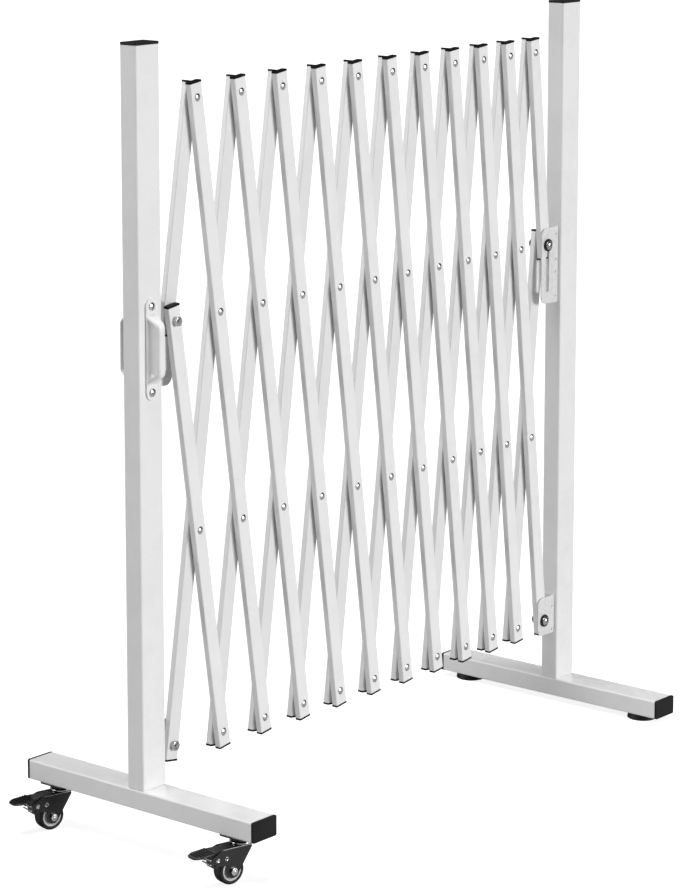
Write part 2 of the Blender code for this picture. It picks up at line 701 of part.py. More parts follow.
# Caster: mount plate with its raceway, stamped fork, tyre, hub, axle and brake pedal
def mount_plate():
    """Plate under the foot, with its origin on the swivel axis at the foot's underside."""
    bottom = -FIT_GAP - MOUNT_PLATE_THICKNESS
    size = (MOUNT_PLATE_SIZE, MOUNT_PLATE_SIZE, MOUNT_PLATE_THICKNESS)
    plate = box("plate", size, (0, 0, bottom + MOUNT_PLATE_THICKNESS / 2), cutters)
    middle = bottom + MOUNT_PLATE_THICKNESS / 2
    end = bottom - RACEWAY_DROP
    plate = join(plate, cylinder("raceway", RACEWAY_RADIUS, end, middle, cutters, sides=RACEWAY_SIDES))
    bore = KINGPIN_RADIUS + FIT_GAP
    return cut(plate, cylinder("bore", bore, end - OVERRUN, middle, cutters, sides=AXLE_SIDES))


def fork_outline():
    """Side plate seen along +Y, from the heel round the axle to the nose; the swivel axis is x = 0."""
    axle = (-CASTER_TRAIL, WHEEL_RADIUS)
    nose = -CASTER_TRAIL - FORK_NOSE_REACH
    pin = (-CASTER_TRAIL - PEDAL_PIN_REACH, PEDAL_PIN_HEIGHT)
    return [
        (FORK_HEEL, FORK_TOP), (-FORK_TOP_RUN, FORK_TOP), (nose, pin[1] + PEDAL_EYE_RADIUS),
        (nose, pin[1] - FORK_NOSE_HEIGHT / 2), (nose + FORK_NOSE_HEIGHT, pin[1] - FORK_NOSE_HEIGHT),
        (axle[0] - FORK_TIP_RADIUS, axle[1] + FORK_NOSE_HEIGHT),
        *arc(axle, FORK_TIP_RADIUS, 180, FORK_TIP_END, 2 * ARC_STEPS),
        (FORK_HEEL, FORK_TOP - FORK_HEEL_DROP)]


def fork():
    """Bent sheet fork with its kingpin and the pedal's pin, in the caster's frame with z = 0 on the floor."""
    body = extruded("fork", [fork_outline()], FORK_OUTER, "-Y", cutters)
    pin = (-CASTER_TRAIL - PEDAL_PIN_REACH, 0, PEDAL_PIN_HEIGHT)
    inside_top = FORK_TOP - FORK_SHEET
    inside = box("inside", (4 * FORK_NOSE_REACH, FORK_INNER, inside_top), (0, 0, inside_top / 2), cutters)
    body = cut(body, inside)
    reach = FORK_TOP_RUN + FORK_NOSE_REACH
    size = (reach, FORK_INNER, 2 * FORK_SHEET)
    body = cut(body, box("mouth", size, (-PEDAL_ROOT_X - reach / 2, 0, FORK_TOP), cutters))
    axle_hole = cylinder("axle hole", AXLE_RADIUS + FIT_GAP, -FORK_OUTER, FORK_OUTER, cutters,
                         centre=(-CASTER_TRAIL, 0, WHEEL_RADIUS), axis="Y", sides=AXLE_SIDES)
    body = cut(body, axle_hole)
    half = FORK_OUTER / 2 + PEDAL_PIN_HEAD
    rod = cylinder("pin", PEDAL_PIN_RADIUS, -half + PEDAL_PIN_HEAD / 2, half - PEDAL_PIN_HEAD / 2, cutters,
                   centre=pin, axis="Y", sides=AXLE_SIDES)
    body = join(body, rod)
    heads = bmesh.new()
    second = (pin[0] + PEDAL_PIN_REACH * SECOND_RIVET_SHARE, 0, pin[2])
    for centre in (pin, second):
        for axis in ("Y", "-Y"):
            start = FORK_OUTER / 2 - FORK_SHEET / 2
            add_cylinder(heads, PEDAL_PIN_HEAD_RADIUS, start, half, centre, axis, AXLE_SIDES)
    body = join(body, to_object("pin heads", heads, cutters))
    kingpin_end = CASTER_HEIGHT - FIT_GAP - MOUNT_PLATE_THICKNESS
    kingpin_start = inside_top + FORK_SHEET / 2
    kingpin = cylinder("kingpin", KINGPIN_RADIUS, kingpin_start, kingpin_end, cutters, sides=AXLE_SIDES)
    return join(body, kingpin)


def tyre():
    half, outer = WHEEL_WIDTH / 2, WHEEL_RADIUS
    bore = HUB_RADIUS + FIT_GAP
    profile = [
        (bore, half), (outer - TREAD_SHOULDER, half), (outer, half - TREAD_SHOULDER),
        (outer, TREAD_SHOULDER - half), (outer - TREAD_SHOULDER, -half), (bore, -half)]
    return turned("tyre", profile, WHEEL_STEPS, "Y", cutters, closed=True)


def hub():
    half, bore = WHEEL_WIDTH / 2, AXLE_RADIUS + FIT_GAP
    dish = half - HUB_RECESS
    rim = HUB_RADIUS - HUB_RIM
    side = [
        (bore, half), (HUB_BOSS_RADIUS, half), (HUB_BOSS_RADIUS, dish), (rim, dish), (rim, half),
        (HUB_RADIUS, half)]
    profile = side + [(radius, -height) for radius, height in reversed(side)]
    return turned("hub", profile, WHEEL_STEPS, "Y", cutters, closed=True)


def axle():
    inner = FORK_OUTER / 2 + FIT_GAP
    bolt = cylinder("axle", AXLE_RADIUS, -inner - AXLE_NUT_HEIGHT / 2, inner + AXLE_NUT_HEIGHT / 2, cutters,
                    axis="Y", sides=AXLE_SIDES)
    nuts = bmesh.new()
    for start, end in ((-inner - AXLE_NUT_HEIGHT, -inner), (inner, inner + AXLE_NUT_HEIGHT)):
        add_cylinder(nuts, AXLE_NUT_RADIUS, start, end, (0, 0, 0), "Y", NUT_SIDES)
    return join(bolt, to_object("nuts", nuts, cutters))


def pedal():
    """Brake pedal with its origin on its pin: a lever between the fork's sides and a wide ribbed pad."""
    pin_x = -CASTER_TRAIL - PEDAL_PIN_REACH
    root = -PEDAL_ROOT_X - FIT_GAP - pin_x
    tip = -CASTER_TRAIL - PEDAL_TIP_REACH - pin_x
    top = PEDAL_TOP - PEDAL_PIN_HEIGHT
    tip_top = top - PEDAL_TIP_DROP
    slope = PEDAL_TIP_DROP / (root - tip)
    eye = PEDAL_EYE_RADIUS
    side = [
        (root, top), (tip, tip_top), (tip, tip_top - PEDAL_THICKNESS),
        (-SHOE_THICKNESS, top - PEDAL_THICKNESS - slope * (root + SHOE_THICKNESS)),
        (-SHOE_THICKNESS, -SHOE_REACH), (SHOE_TOE, -SHOE_REACH), (eye, -eye), (eye, eye),
        (root, top - PEDAL_THICKNESS)]
    lever = extruded("lever", [side], FORK_INNER - 2 * PEDAL_SIDE_GAP, "-Y", cutters)
    pad_top = tip_top + slope * PEDAL_PAD_LENGTH
    pad = extruded("pad", [rounded_rectangle(PEDAL_PAD_LENGTH, PEDAL_PAD_WIDTH, PEDAL_PAD_CORNER)],
                   PEDAL_THICKNESS, "Z", cutters)
    tilt = math.atan(slope)
    lift = (tip_top + pad_top) / 2 + PEDAL_RIB_HEIGHT / 2 - PEDAL_THICKNESS / 2
    middle = Matrix.Translation((tip + PEDAL_PAD_LENGTH / 2 - PEDAL_RIB_HEIGHT, 0, lift))
    pad.data.transform(middle @ Matrix.Rotation(-tilt, 4, "Y"))
    lever = join(lever, pad)
    ribs = bmesh.new()
    pitch = (PEDAL_PAD_LENGTH - 2 * PEDAL_PAD_CORNER) / (PEDAL_RIBS - 1)
    size = (pitch * PEDAL_RIB_SHARE, PEDAL_PAD_WIDTH - 2 * PEDAL_PAD_CORNER, 2 * PEDAL_RIB_HEIGHT)
    for index in range(PEDAL_RIBS):
        add_box(ribs, size, (pitch * (index - (PEDAL_RIBS - 1) / 2), 0, PEDAL_THICKNESS / 2))
    ribs = to_object("ribs", ribs, cutters)
    ribs.data.transform(middle @ Matrix.Rotation(-tilt, 4, "Y"))
    lever = join(lever, ribs)
    bore = PEDAL_PIN_RADIUS + FIT_GAP
    return cut(lever, cylinder("bore", bore, -FORK_OUTER, FORK_OUTER, cutters, axis="Y", sides=AXLE_SIDES))


def build_casters(parent, x):
    reach = FOOT_LENGTH / 2 - CASTER_INSET
    for end, y in (("front", -reach), ("rear", reach)):
        plate = mount_plate()
        finish(plate, f"{end}_caster_plate", black_metal, parent, (x, y, CASTER_HEIGHT))
        swivel = empty(f"{end} swivel axis", parent, (x, y, 0), (0, 0, CASTER_TURN))
        finish(fork(), f"{end}_caster_fork", black_metal, swivel)
        spin = empty(f"{end} wheel axis", swivel, (-CASTER_TRAIL, 0, WHEEL_RADIUS))
        finish(tyre(), f"{end}_tyre", black_rubber, spin)
        finish(hub(), f"{end}_wheel_hub", hub_white, spin)
        finish(axle(), f"{end}_axle", zinc, swivel, (-CASTER_TRAIL, 0, WHEEL_RADIUS))
        pedal_pin = (-CASTER_TRAIL - PEDAL_PIN_REACH, 0, PEDAL_PIN_HEIGHT)
        finish(pedal(), f"{end}_brake_pedal", black_plastic, swivel, pedal_pin)


def centre_along_x(parent):
    """Move the whole barrier so that its box is centred on x = 0."""
    bpy.context.view_layer.update()
    places = [obj.matrix_world @ vert.co for obj in barrier.objects if obj.type == "MESH"
              for vert in obj.data.vertices]
    low = min(place.x for place in places)
    high = max(place.x for place in places)
    parent.location.x -= (low + high) / 2


for old in list(bpy.data.objects):
    bpy.data.objects.remove(old)
barrier = make_collection("expandable_safety_barrier")
cutters = make_collection("cutters")

bar_white = make_material("bar_white", (0.86, 0.86, 0.86), 0.4)
post_white = make_material("post_white", (0.84, 0.84, 0.84), 0.38)
foot_white = make_material("foot_white", (0.84, 0.84, 0.84), 0.38)
bracket_white = make_material("bracket_white", (0.80, 0.80, 0.80), 0.45)
handle_white = make_material("handle_white", (0.86, 0.86, 0.86), 0.35)
hub_white = make_material("hub_white", (0.70, 0.70, 0.70), 0.35)
black_plastic = make_material("black_plastic", (0.02, 0.02, 0.02), 0.5)
black_rubber = make_material("black_rubber", (0.015, 0.015, 0.015), 0.7)
black_metal = make_material("black_metal", (0.025, 0.025, 0.025), 0.45, 0.3)
zinc = make_material("zinc", (0.62, 0.62, 0.62), 0.3, 1.0)

root = empty("barrier origin", None, (0, 0, 0))
pins = {
    ("left", "upper"): bar_line(FRONT, -1)[0][1],
    ("left", "lower"): bar_line(BACK, 1)[0][LAST_ROW],
    ("right", "upper"): bar_line(BACK, LAST_COLUMN + 1)[0][1],
    ("right", "lower"): bar_line(FRONT, LAST_COLUMN - 1)[0][LAST_ROW]}
build_lattice(root)
build_bolts(root, pins)
build_brackets(root, pins)
left_x, left_post_y = build_stand(root, "left", pins["left", "lower"].x, CASTER_HEIGHT)
right_x, _ = build_stand(root, "right", pins["right", "lower"].x, PAD_HEIGHT)
build_handles(root, left_x, left_post_y)
build_casters(root, left_x)
build_rubber_feet(root, right_x)
centre_along_x(root)
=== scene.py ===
"""Looks of an expandable safety barrier: white powder-coated steel, black plastic ends, zinc rivets, casters.

Lengths are metres. X runs from the caster stand to the fixed stand, -Y is the front, Z is up.
"""
import math

import bmesh
import bpy
from mathutils import Matrix, Vector


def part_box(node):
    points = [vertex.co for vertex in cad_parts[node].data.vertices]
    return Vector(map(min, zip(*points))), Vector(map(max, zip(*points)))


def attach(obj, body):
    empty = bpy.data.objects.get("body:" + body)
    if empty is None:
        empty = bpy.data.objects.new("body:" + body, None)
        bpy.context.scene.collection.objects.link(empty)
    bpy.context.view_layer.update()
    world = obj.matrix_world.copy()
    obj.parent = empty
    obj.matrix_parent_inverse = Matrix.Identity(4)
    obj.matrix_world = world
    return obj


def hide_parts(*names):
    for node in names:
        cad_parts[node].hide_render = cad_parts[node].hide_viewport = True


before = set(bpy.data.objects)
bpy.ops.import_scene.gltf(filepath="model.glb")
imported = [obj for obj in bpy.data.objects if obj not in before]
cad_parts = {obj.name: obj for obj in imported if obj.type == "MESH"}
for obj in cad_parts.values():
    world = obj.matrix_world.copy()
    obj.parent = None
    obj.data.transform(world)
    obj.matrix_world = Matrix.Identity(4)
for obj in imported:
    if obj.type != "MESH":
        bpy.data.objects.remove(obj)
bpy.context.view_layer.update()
scene = bpy.context.scene


# Posts
# Two upright steel tubes of 48 by 32 mm with rounded corners, sawn square and welded to the feet.
# Their satin white powder coat is baked on, which leaves a fine orange peel and slightly cloudy gloss.
POST_SIZE = (0.048, 0.032)
POST_CORNER = 0.0030


class Wire:
    """An output socket. Arithmetic with it adds Math nodes to its tree."""

    def __init__(self, nodes, socket):
        self.nodes, self.socket = nodes, socket

    def math(self, operation, *values):
        return self.nodes.add("ShaderNodeMath", {"operation": operation}, dict(enumerate(values)))

    def __add__(self, other):
        return self.math("ADD", self, other)

    def __sub__(self, other):
        return self.math("SUBTRACT", self, other)

    def __rsub__(self, other):
        return self.math("SUBTRACT", other, self)

    def __mul__(self, other):
        return self.math("MULTIPLY", self, other)

    __radd__, __rmul__ = __add__, __mul__


class Nodes:
    """Adds nodes to a tree: their type, their settings, and the values or wires of their sockets."""

    def __init__(self, tree):
        self.tree = tree

    def join(self, socket, value):
        if isinstance(value, Wire):
            self.tree.links.new(value.socket, socket)
        else:
            socket.default_value = value

    def add(self, kind, settings=None, sockets=None, output=0):
        node = self.tree.nodes.new(kind)
        for name, value in (settings or {}).items():
            setattr(node, name, value)
        for name, value in (sockets or {}).items():
            self.join(node.inputs[name], value)
        return Wire(self, node.outputs[output])


class Finish(Nodes):
    """A material on the Principled shader, with its patterns on Object coordinates."""

    def __init__(self, name, **constants):
        self.material = bpy.data.materials.new(name)
        self.material.use_nodes = True
        super().__init__(self.material.node_tree)
        self.shader = self.tree.nodes["Principled BSDF"]
        for socket, value in constants.items():
            self.shader.inputs[socket.replace("_", " ")].default_value = value
        self.place = self.add("ShaderNodeTexCoord", output="Object")

    def feed(self, socket, value):
        self.join(self.shader.inputs[socket], value)

    def noise(self, scale, detail=2.0, stretch=None):
        place = self.place
        if stretch:
            place = self.add("ShaderNodeMapping", sockets={"Vector": place, "Scale": stretch})
        return self.add("ShaderNodeTexNoise", sockets={"Vector": place, "Scale": scale, "Detail": detail})

    def between(self, value, low, high):
        """0 below low and 1 above high, with a smooth rise between."""
        return self.add("ShaderNodeMapRange", {"interpolation_type": "SMOOTHSTEP"},
                        {"Value": value, "From Min": low, "From Max": high})

    def tint(self, share, first, second):
        """Feeds the colour: first grey where share is 0, second grey where it is 1."""
        colours = {6: (first, first, first, 1), 7: (second, second, second, 1)}
        self.feed("Base Color", self.add("ShaderNodeMix", {"data_type": "RGBA"}, {0: share, **colours}, 2))

    def dent(self, height, strength, distance):
        sockets = {"Height": height, "Strength": strength, "Distance": distance}
        self.feed("Normal", self.add("ShaderNodeBump", sockets=sockets))


def powder_coat(name, shade, roughness, peel=(420, 0.00006), cloud=(14, 0.014)):
    """Baked powder: an orange peel, a finer grain, and cloudy differences in tone and gloss."""
    coat = Finish(name, IOR=1.5)
    clouds, skin, grain = coat.noise(cloud[0], 3), coat.noise(peel[0], 1), coat.noise(1500, 1)
    coat.tint(coat.between(clouds, 0.3, 0.7), shade * (1 - cloud[1]), shade * (1 + cloud[1]))
    coat.feed("Roughness", roughness + (clouds - 0.5) * 0.1 + (grain - 0.5) * 0.08)
    coat.dent(skin + grain * 0.3, 0.25, peel[1])
    return coat


def arc(centre, radius, start, end, steps=8):
    """Points on an arc, by angle in degrees."""
    angles = [math.radians(start + (end - start) * i / steps) for i in range(steps + 1)]
    return [(centre[0] + radius * math.cos(a), centre[1] + radius * math.sin(a)) for a in angles]


def outline(width, depth, radius, steps=6):
    """Anticlockwise rectangle about the origin with round corners."""
    inner_x, inner_y = width / 2 - radius, depth / 2 - radius
    corners = ((inner_x, inner_y), (-inner_x, inner_y), (-inner_x, -inner_y), (inner_x, -inner_y))
    quarters = [arc(corner, radius, 90 * i, 90 * i + 90, steps) for i, corner in enumerate(corners)]
    return [point for quarter in quarters for point in quarter]


def prism(loop, start, end):
    """A flat outline carried along Z and closed at both ends."""
    bm = bmesh.new()
    low, high = ([bm.verts.new((x, y, z)) for x, y in loop] for z in (start, end))
    for i in range(len(loop)):
        bm.faces.new((low[i - 1], low[i], high[i], high[i - 1]))
    bm.faces.new(low[::-1])
    bm.faces.new(high)
    return bm


def held(name, mesh):
    obj = bpy.data.objects.new(name, mesh)
    scene.collection.objects.link(obj)
    return obj


def meshed(source):
    """A mesh from a bmesh or an object with modifiers, which is used up; its faces point outwards."""
    if isinstance(source, bmesh.types.BMesh):
        bmesh.ops.recalc_face_normals(source, faces=source.faces)
        mesh = bpy.data.meshes.new("mesh")
        source.to_mesh(mesh)
        source.free()
    elif isinstance(source, bpy.types.Object):
        graph = bpy.context.evaluated_depsgraph_get()
        mesh = bpy.data.meshes.new_from_object(source.evaluated_get(graph))
        bpy.data.objects.remove(source)
    else:
        mesh = source
    return mesh


def gathered(*parts):
    """One bmesh of several sources, each with its place."""
    whole = bmesh.new()
    for source, place in parts:
        mesh = meshed(source)
        mesh.transform(place)
        whole.from_mesh(mesh)
        bpy.data.meshes.remove(mesh)
    return whole


def rounded(source, width, steps=2, crease=40):
    """Rounds every edge that is sharper than the crease angle."""
    blank = held("blank", meshed(source))
    bevel = blank.modifiers.new("rounding", "BEVEL")
    bevel.width, bevel.segments, bevel.limit_method = width, steps, "ANGLE"
    bevel.angle_limit = math.radians(crease)
    return meshed(blank)


def piece(name, source, finish, body, slot, *nodes, place=Matrix(), rounding=0.0, crease=40):
    """Rounds, shades and places a piece in its mesh, ties it to its body and hides its CAD nodes. The slot is
    not used.
    """
    mesh = rounded(source, rounding, crease=crease) if rounding else meshed(source)
    mesh.shade_smooth()
    mesh.set_sharp_from_angle(angle=math.radians(crease))
    blank = held("blank", mesh)
    blank.modifiers.new("flat faces", "WEIGHTED_NORMAL").keep_sharp = True
    mesh = meshed(blank)
    mesh.transform(place)
    mesh.materials.clear()
    mesh.materials.append(finish.material)
    obj = held(name, mesh)
    mesh.name = name
    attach(obj, body)
    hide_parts(*nodes)


post_white = powder_coat("satin_white_posts", 0.85, 0.28)
post_centre = {}
for side in ("left", "right"):
    low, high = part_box(f"{side}_post")
    post_centre[side] = (low + high) / 2
    middle = Matrix.Translation((*post_centre[side].xy, 0))
    piece(f"post_tube_{side}", prism(outline(*POST_SIZE, POST_CORNER), low.z, high.z), post_white,
          f"{side}_stand", "post_white", f"{side}_post", place=middle)


# Post caps
# Black moulded plastic plugs pushed into the posts' tops; a 4 mm flange covers the tube's edge.
# The moulded face has a fine spark-eroded grain, and the flange's top edge is broken by a small radius.
CAP_FLANGE = 0.0038
CAP_OVERHANG = 0.0004
CAP_ROUNDING = 0.0006


def moulded(name, shade, roughness, sheen, gloss=0.15):
    """Moulded plastic: a fine grain of half a millimetre with faint flow marks."""
    plastic = Finish(name, IOR=1.46, Specular_IOR_Level=gloss)
    flow, grain = plastic.noise(30, 3), plastic.noise(1800, 2)
    plastic.tint(plastic.between(flow, 0.3, 0.7), shade * 0.85, shade * 1.2)
    plastic.feed("Roughness", roughness + (flow - 0.5) * 0.12 - (grain - 0.5) * sheen)
    plastic.dent(grain, 0.35, 0.00005)
    return plastic


cap_black = moulded("black_moulded_plastic", 0.013, 0.42, 0.1)
for side in ("left", "right"):
    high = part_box(f"{side}_post_cap")[1].z
    size = [side_length + CAP_OVERHANG for side_length in POST_SIZE]
    flange = prism(outline(*size, POST_CORNER), high - CAP_FLANGE, high)
    piece(f"post_top_cap_{side}", flange, cap_black, f"{side}_stand", "black_plastic", f"{side}_post_cap",
          place=Matrix.Translation((*post_centre[side].xy, 0)), rounding=CAP_ROUNDING)


# Feet
# Steel tubes of 50 by 30 mm lie across under the posts and are welded to them, in the same white coat.
# The caster stand's foot is carried 70 mm above the floor, the fixed stand's foot 10 mm.
FOOT_SIZE = (0.050, 0.030)
FOOT_CORNER = 0.0024
ALONG_Y = Matrix.Rotation(math.pi / 2, 4, "X")

foot_white = powder_coat("satin_white_feet", 0.85, 0.28)
foot_middle = {}
for side in ("left", "right"):
    low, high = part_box(f"{side}_foot")
    foot_middle[side] = (low + high) / 2
    reach = (high.y - low.y) / 2
    place = Matrix.Translation(foot_middle[side]) @ ALONG_Y
    piece(f"foot_tube_{side}", prism(outline(*FOOT_SIZE, FOOT_CORNER), -reach, reach), foot_white,
          f"{side}_stand", "foot_white", f"{side}_foot", place=place)


# Foot caps
# The same black plugs close both ends of each foot; their flanges stand 4 mm proud of the tube.
# A shallow border runs round the end face, inside the rounded edge.
BORDER_WIDTH = 0.0028
BORDER_STEP = (0.0004, -0.0003)

for side in ("left", "right"):
    for end, way in (("front", -1), ("rear", 1)):
        low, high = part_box(f"{side}_foot_{end}_cap")
        tip = low.y if way < 0 else high.y
        place = Matrix.Translation((foot_middle[side].x, tip, foot_middle[side].z)) @ ALONG_Y
        if way > 0:
            place = place @ Matrix.Rotation(math.pi, 4, "X")
        size = [side_length + CAP_OVERHANG for side_length in FOOT_SIZE]
        flange = prism(outline(*size, FOOT_CORNER), -CAP_FLANGE, 0)
        face = max(flange.faces, key=lambda f: f.calc_center_median().z)
        bmesh.ops.inset_region(flange, faces=[face], thickness=BORDER_WIDTH, depth=0)
        bmesh.ops.inset_region(flange, faces=[face], thickness=BORDER_STEP[0], depth=BORDER_STEP[1])
        piece(f"foot_end_cap_{side}_{end}", flange, cap_black, f"{side}_stand", "black_plastic",
              f"{side}_foot_{end}_cap", place=place, rounding=CAP_ROUNDING, crease=50)


# Brackets
# Four plates of 2.5 mm sheet folded to an angle. One leg is welded to the post, the other stands by the bars.
# The upper ones have a long slot for the sliding bolt. Weld pits show in a column near the post.
# Their white coat is thicker, with a coarser orange peel.
SHEET = 0.0025
PLATE_FACE = 0.0152
PIN_TO_FREE_EDGE = 0.016
PIN_TO_LEG = 0.0307
LEG_DEPTH = 0.022
FOLD_RADIUS = 0.0032
PLATE_CORNER = 0.0135
SLOT_RADIUS = 0.0044
SHEAR_ROUNDING = 0.0005
PIT_TO_LEG = 0.008
PIT = [(0, -0.0022), (0.0019, -0.0021), (0.0022, -0.0008), (0.0030, -0.0004), (0.0038, 0.0002),
       (0.0040, 0.001), (0, 0.001)]
PLATES = {
    "upper": {"above": 0.028, "below": 0.098, "slot": (0.0055, -0.074), "pits": (0.90, 0.57, 0.40, 0.07)},
    "lower": {"above": 0.039, "below": 0.026, "slot": (0, 0), "pits": (0.71, 0.10)}}


def shaped(operation, base, tool):
    """Cuts, joins or intersects two sources, which are used up."""
    blank, other = held("blank", meshed(base)), held("tool", meshed(tool))
    modifier = blank.modifiers.new("shape", "BOOLEAN")
    modifier.operation, modifier.solver, modifier.object = operation, "EXACT", other
    mesh = meshed(blank)
    bpy.data.objects.remove(other)
    return mesh


def turned(profile, steps=48, closed=False):
    """Turns a profile of (radius, height) points about Z; a closed one makes a ring."""
    bm = bmesh.new()
    rings = []
    for radius, height in profile:
        count = steps if radius > 1e-6 else 1
        angles = [math.tau * i / count for i in range(count)]
        rings.append([bm.verts.new((radius * math.cos(a), radius * math.sin(a), height)) for a in angles])
    for first, second in zip(rings, rings[1:] + rings[:1] if closed else rings[1:]):
        for i in range(steps):
            around = ((first, i), (first, i + 1), (second, i + 1), (second, i))
            bm.faces.new(dict.fromkeys(ring[j % len(ring)] for ring, j in around))
    return bm


def bracket_plate(above, below, slot, pits):
    """Right-hand bracket about its pin, with the post on its +X side."""
    fold = (PIN_TO_LEG - FOLD_RADIUS, FOLD_RADIUS - PLATE_FACE)
    angle = [(-PIN_TO_FREE_EDGE, -PLATE_FACE), *arc(fold, FOLD_RADIUS, -90, 0),
             (PIN_TO_LEG, LEG_DEPTH - PLATE_FACE), (PIN_TO_LEG - SHEET, LEG_DEPTH - PLATE_FACE),
             *arc(fold, FOLD_RADIUS - SHEET, 0, -90), (-PIN_TO_FREE_EDGE, SHEET - PLATE_FACE)]
    left = PLATE_CORNER - PIN_TO_FREE_EDGE
    face = [(2 * PIN_TO_LEG, -below), (2 * PIN_TO_LEG, above),
            *arc((left, above - PLATE_CORNER), PLATE_CORNER, 90, 180, 12),
            *arc((left, PLATE_CORNER - below), PLATE_CORNER, 180, 270, 12)]
    plate = shaped("INTERSECT", prism(angle, -below, above), gathered((prism(face, -0.1, 0.1), ALONG_Y)))
    hole = arc((0, slot[0]), SLOT_RADIUS, 0, 180, 20) + arc((0, slot[1]), SLOT_RADIUS, 180, 360, 20)
    if slot[0] == slot[1]:
        hole = arc((0, 0), SLOT_RADIUS, 0, 360, 32)[:-1]
    plate = shaped("DIFFERENCE", plate, gathered((prism(hole, 0.5 * PLATE_FACE, 0.1), ALONG_Y)))
    heights = [share * (above + below) - below for share in pits]
    column = [(turned(PIT, 24), Matrix.Translation((PIN_TO_LEG - PIT_TO_LEG, -PLATE_FACE, height)) @ ALONG_Y)
              for height in heights]
    return shaped("DIFFERENCE", rounded(plate, SHEAR_ROUNDING), gathered(*column))


bracket_white = powder_coat("satin_white_brackets", 0.74, 0.30, (260, 0.0012), (230, 0.06))
for side, turn in (("left", math.pi), ("right", 0)):
    for level, sizes in PLATES.items():
        low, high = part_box(f"{side}_{level}_bracket")
        pin_x = high.x - PIN_TO_FREE_EDGE if side == "left" else low.x + PIN_TO_FREE_EDGE
        place = Matrix.Translation((pin_x, 0, low.z + sizes["below"])) @ Matrix.Rotation(turn, 4, "Z")
        piece(f"bracket_{side}_{level}", bracket_plate(**sizes), bracket_white, f"{side}_stand",
              "bracket_white", f"{side}_{level}_bracket", place=place)


# Pivot bolts
# Zinc-plated button-head bolts join the end bars to the brackets, with hexagon nuts behind the last bar.
# A thick black washer lies under each head. The plating is bright, with faint turning marks.
HEAD_RADIUS = 0.0075
HEAD_HEIGHT = 0.004
HEAD_CROWN = 0.0095
HEAD_SOCKET = (0.0027, 0.0012)
WASHER = (0.0102, 0.003)
WASHER_HOLE = 0.0043
WASHER_ROUNDING = 0.0006
SHANK = 0.004
THREAD_DEPTH = 0.0004
NUT = (0.0074, 0.0065)
NUT_CHAMFER = 0.0008
NUT_TO_END = 0.0015


def plated(name, shade, roughness):
    """Bright plated steel: fine marks and a slightly cloudy gloss."""
    metal = Finish(name, Metallic=1.0)
    cloud, mark = metal.noise(160, 3), metal.noise(900, 2, (1, 1, 4))
    metal.tint(metal.between(cloud, 0.3, 0.7), shade * 0.88, shade * 1.06)
    metal.feed("Roughness", roughness + (cloud - 0.5) * 0.2 + (mark - 0.5) * 0.1)
    metal.dent(mark, 0.2, 0.00003)
    return metal


def hexagon(radius, start, end, chamfer):
    """Hexagon bar of that corner radius whose corners are turned off at both ends."""
    corners = arc((0, 0), radius, 0, 360, 6)[:-1]
    flat = radius - chamfer * 1.6
    limit = [(0, start), (flat, start), (radius, start + chamfer),
             (radius, end - chamfer), (flat, end), (0, end)]
    return shaped("INTERSECT", prism(corners, start, end), turned(limit, 60))


def thread(radius, start, end, pitch=0.0008):
    """Profile of a threaded end from its root to its tip."""
    turns = max(1, round(abs(end - start) / pitch))
    step = (end - start) / turns
    flanks = [(radius - THREAD_DEPTH * (i % 2), start + step * i / 2) for i in range(2 * turns)]
    return [*flanks, (radius - 0.0007, end)]


zinc = plated("zinc_plating", 0.52, 0.27)
washer_black = moulded("black_washers", 0.018, 0.5, 0.1)
OWNERS = {("left", "upper"): "front_bar_left_short", ("left", "lower"): "left_stand",
          ("right", "upper"): "back_bar_right_short", ("right", "lower"): "right_stand"}
for (side, level), owner in OWNERS.items():
    low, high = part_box(f"{side}_{level}_pivot_bolt")
    head_end, tail_end = max(abs(low.y), abs(high.y)), -min(abs(low.y), abs(high.y))
    seat = head_end - HEAD_HEIGHT
    nut_end = tail_end + NUT_TO_END
    centre = Vector(((low.x + high.x) / 2, 0, (low.z + high.z) / 2))
    place = Matrix.Translation(centre) @ Matrix.Rotation(0 if side == "right" else math.pi, 4, "Z") @ ALONG_Y
    dome = arc((0, seat + HEAD_HEIGHT - HEAD_CROWN), HEAD_CROWN, 90, 41, 8)
    head = turned([*dome, (HEAD_RADIUS, seat + 0.0006), (HEAD_RADIUS - 0.0004, seat), (SHANK, seat),
                   (SHANK, nut_end), *thread(SHANK, nut_end, tail_end), (0, tail_end)])
    socket = prism(arc((0, 0), HEAD_SOCKET[0], 0, 360, 6)[:-1], seat + HEAD_SOCKET[1], seat + 2 * HEAD_HEIGHT)
    bolt = shaped("DIFFERENCE", head, socket)
    nut = hexagon(NUT[0], nut_end, nut_end + NUT[1], NUT_CHAMFER)
    piece(f"pivot_bolt_{side}_{level}", gathered((bolt, Matrix()), (nut, Matrix())), zinc, owner,
          "zinc", f"{side}_{level}_pivot_bolt", place=place)
    ring = [(WASHER_HOLE, seat - 0.0002), (WASHER[0], seat - 0.0002), (WASHER[0], seat - WASHER[1]),
            (WASHER_HOLE, seat - WASHER[1])]
    piece(f"pivot_washer_{side}_{level}", turned(ring, closed=True), washer_black, owner,
          "black_plastic", place=place, rounding=WASHER_ROUNDING)


# Lattice bars
# Rectangular steel tubes of 24 by 10 mm in a white coat. The back layer's coat is painted greyer, as painted
# shade for the light that the front layer keeps off it.
# The two layers lean opposite ways. Their crossings stand 48 mm apart at the caster stand and close up evenly
# to 32 mm at the other, so each bar leans a little less than the one before.
BAR_SECTION = (0.024, 0.010)
BAR_CORNER = 0.0015
LAYER_OFFSET = 0.0065
ROW_SPACING = 0.321
END_MARGIN = 0.021
FIRST_HALF_PITCH = 0.0481545455
PITCH_LOSS = 0.0007454545


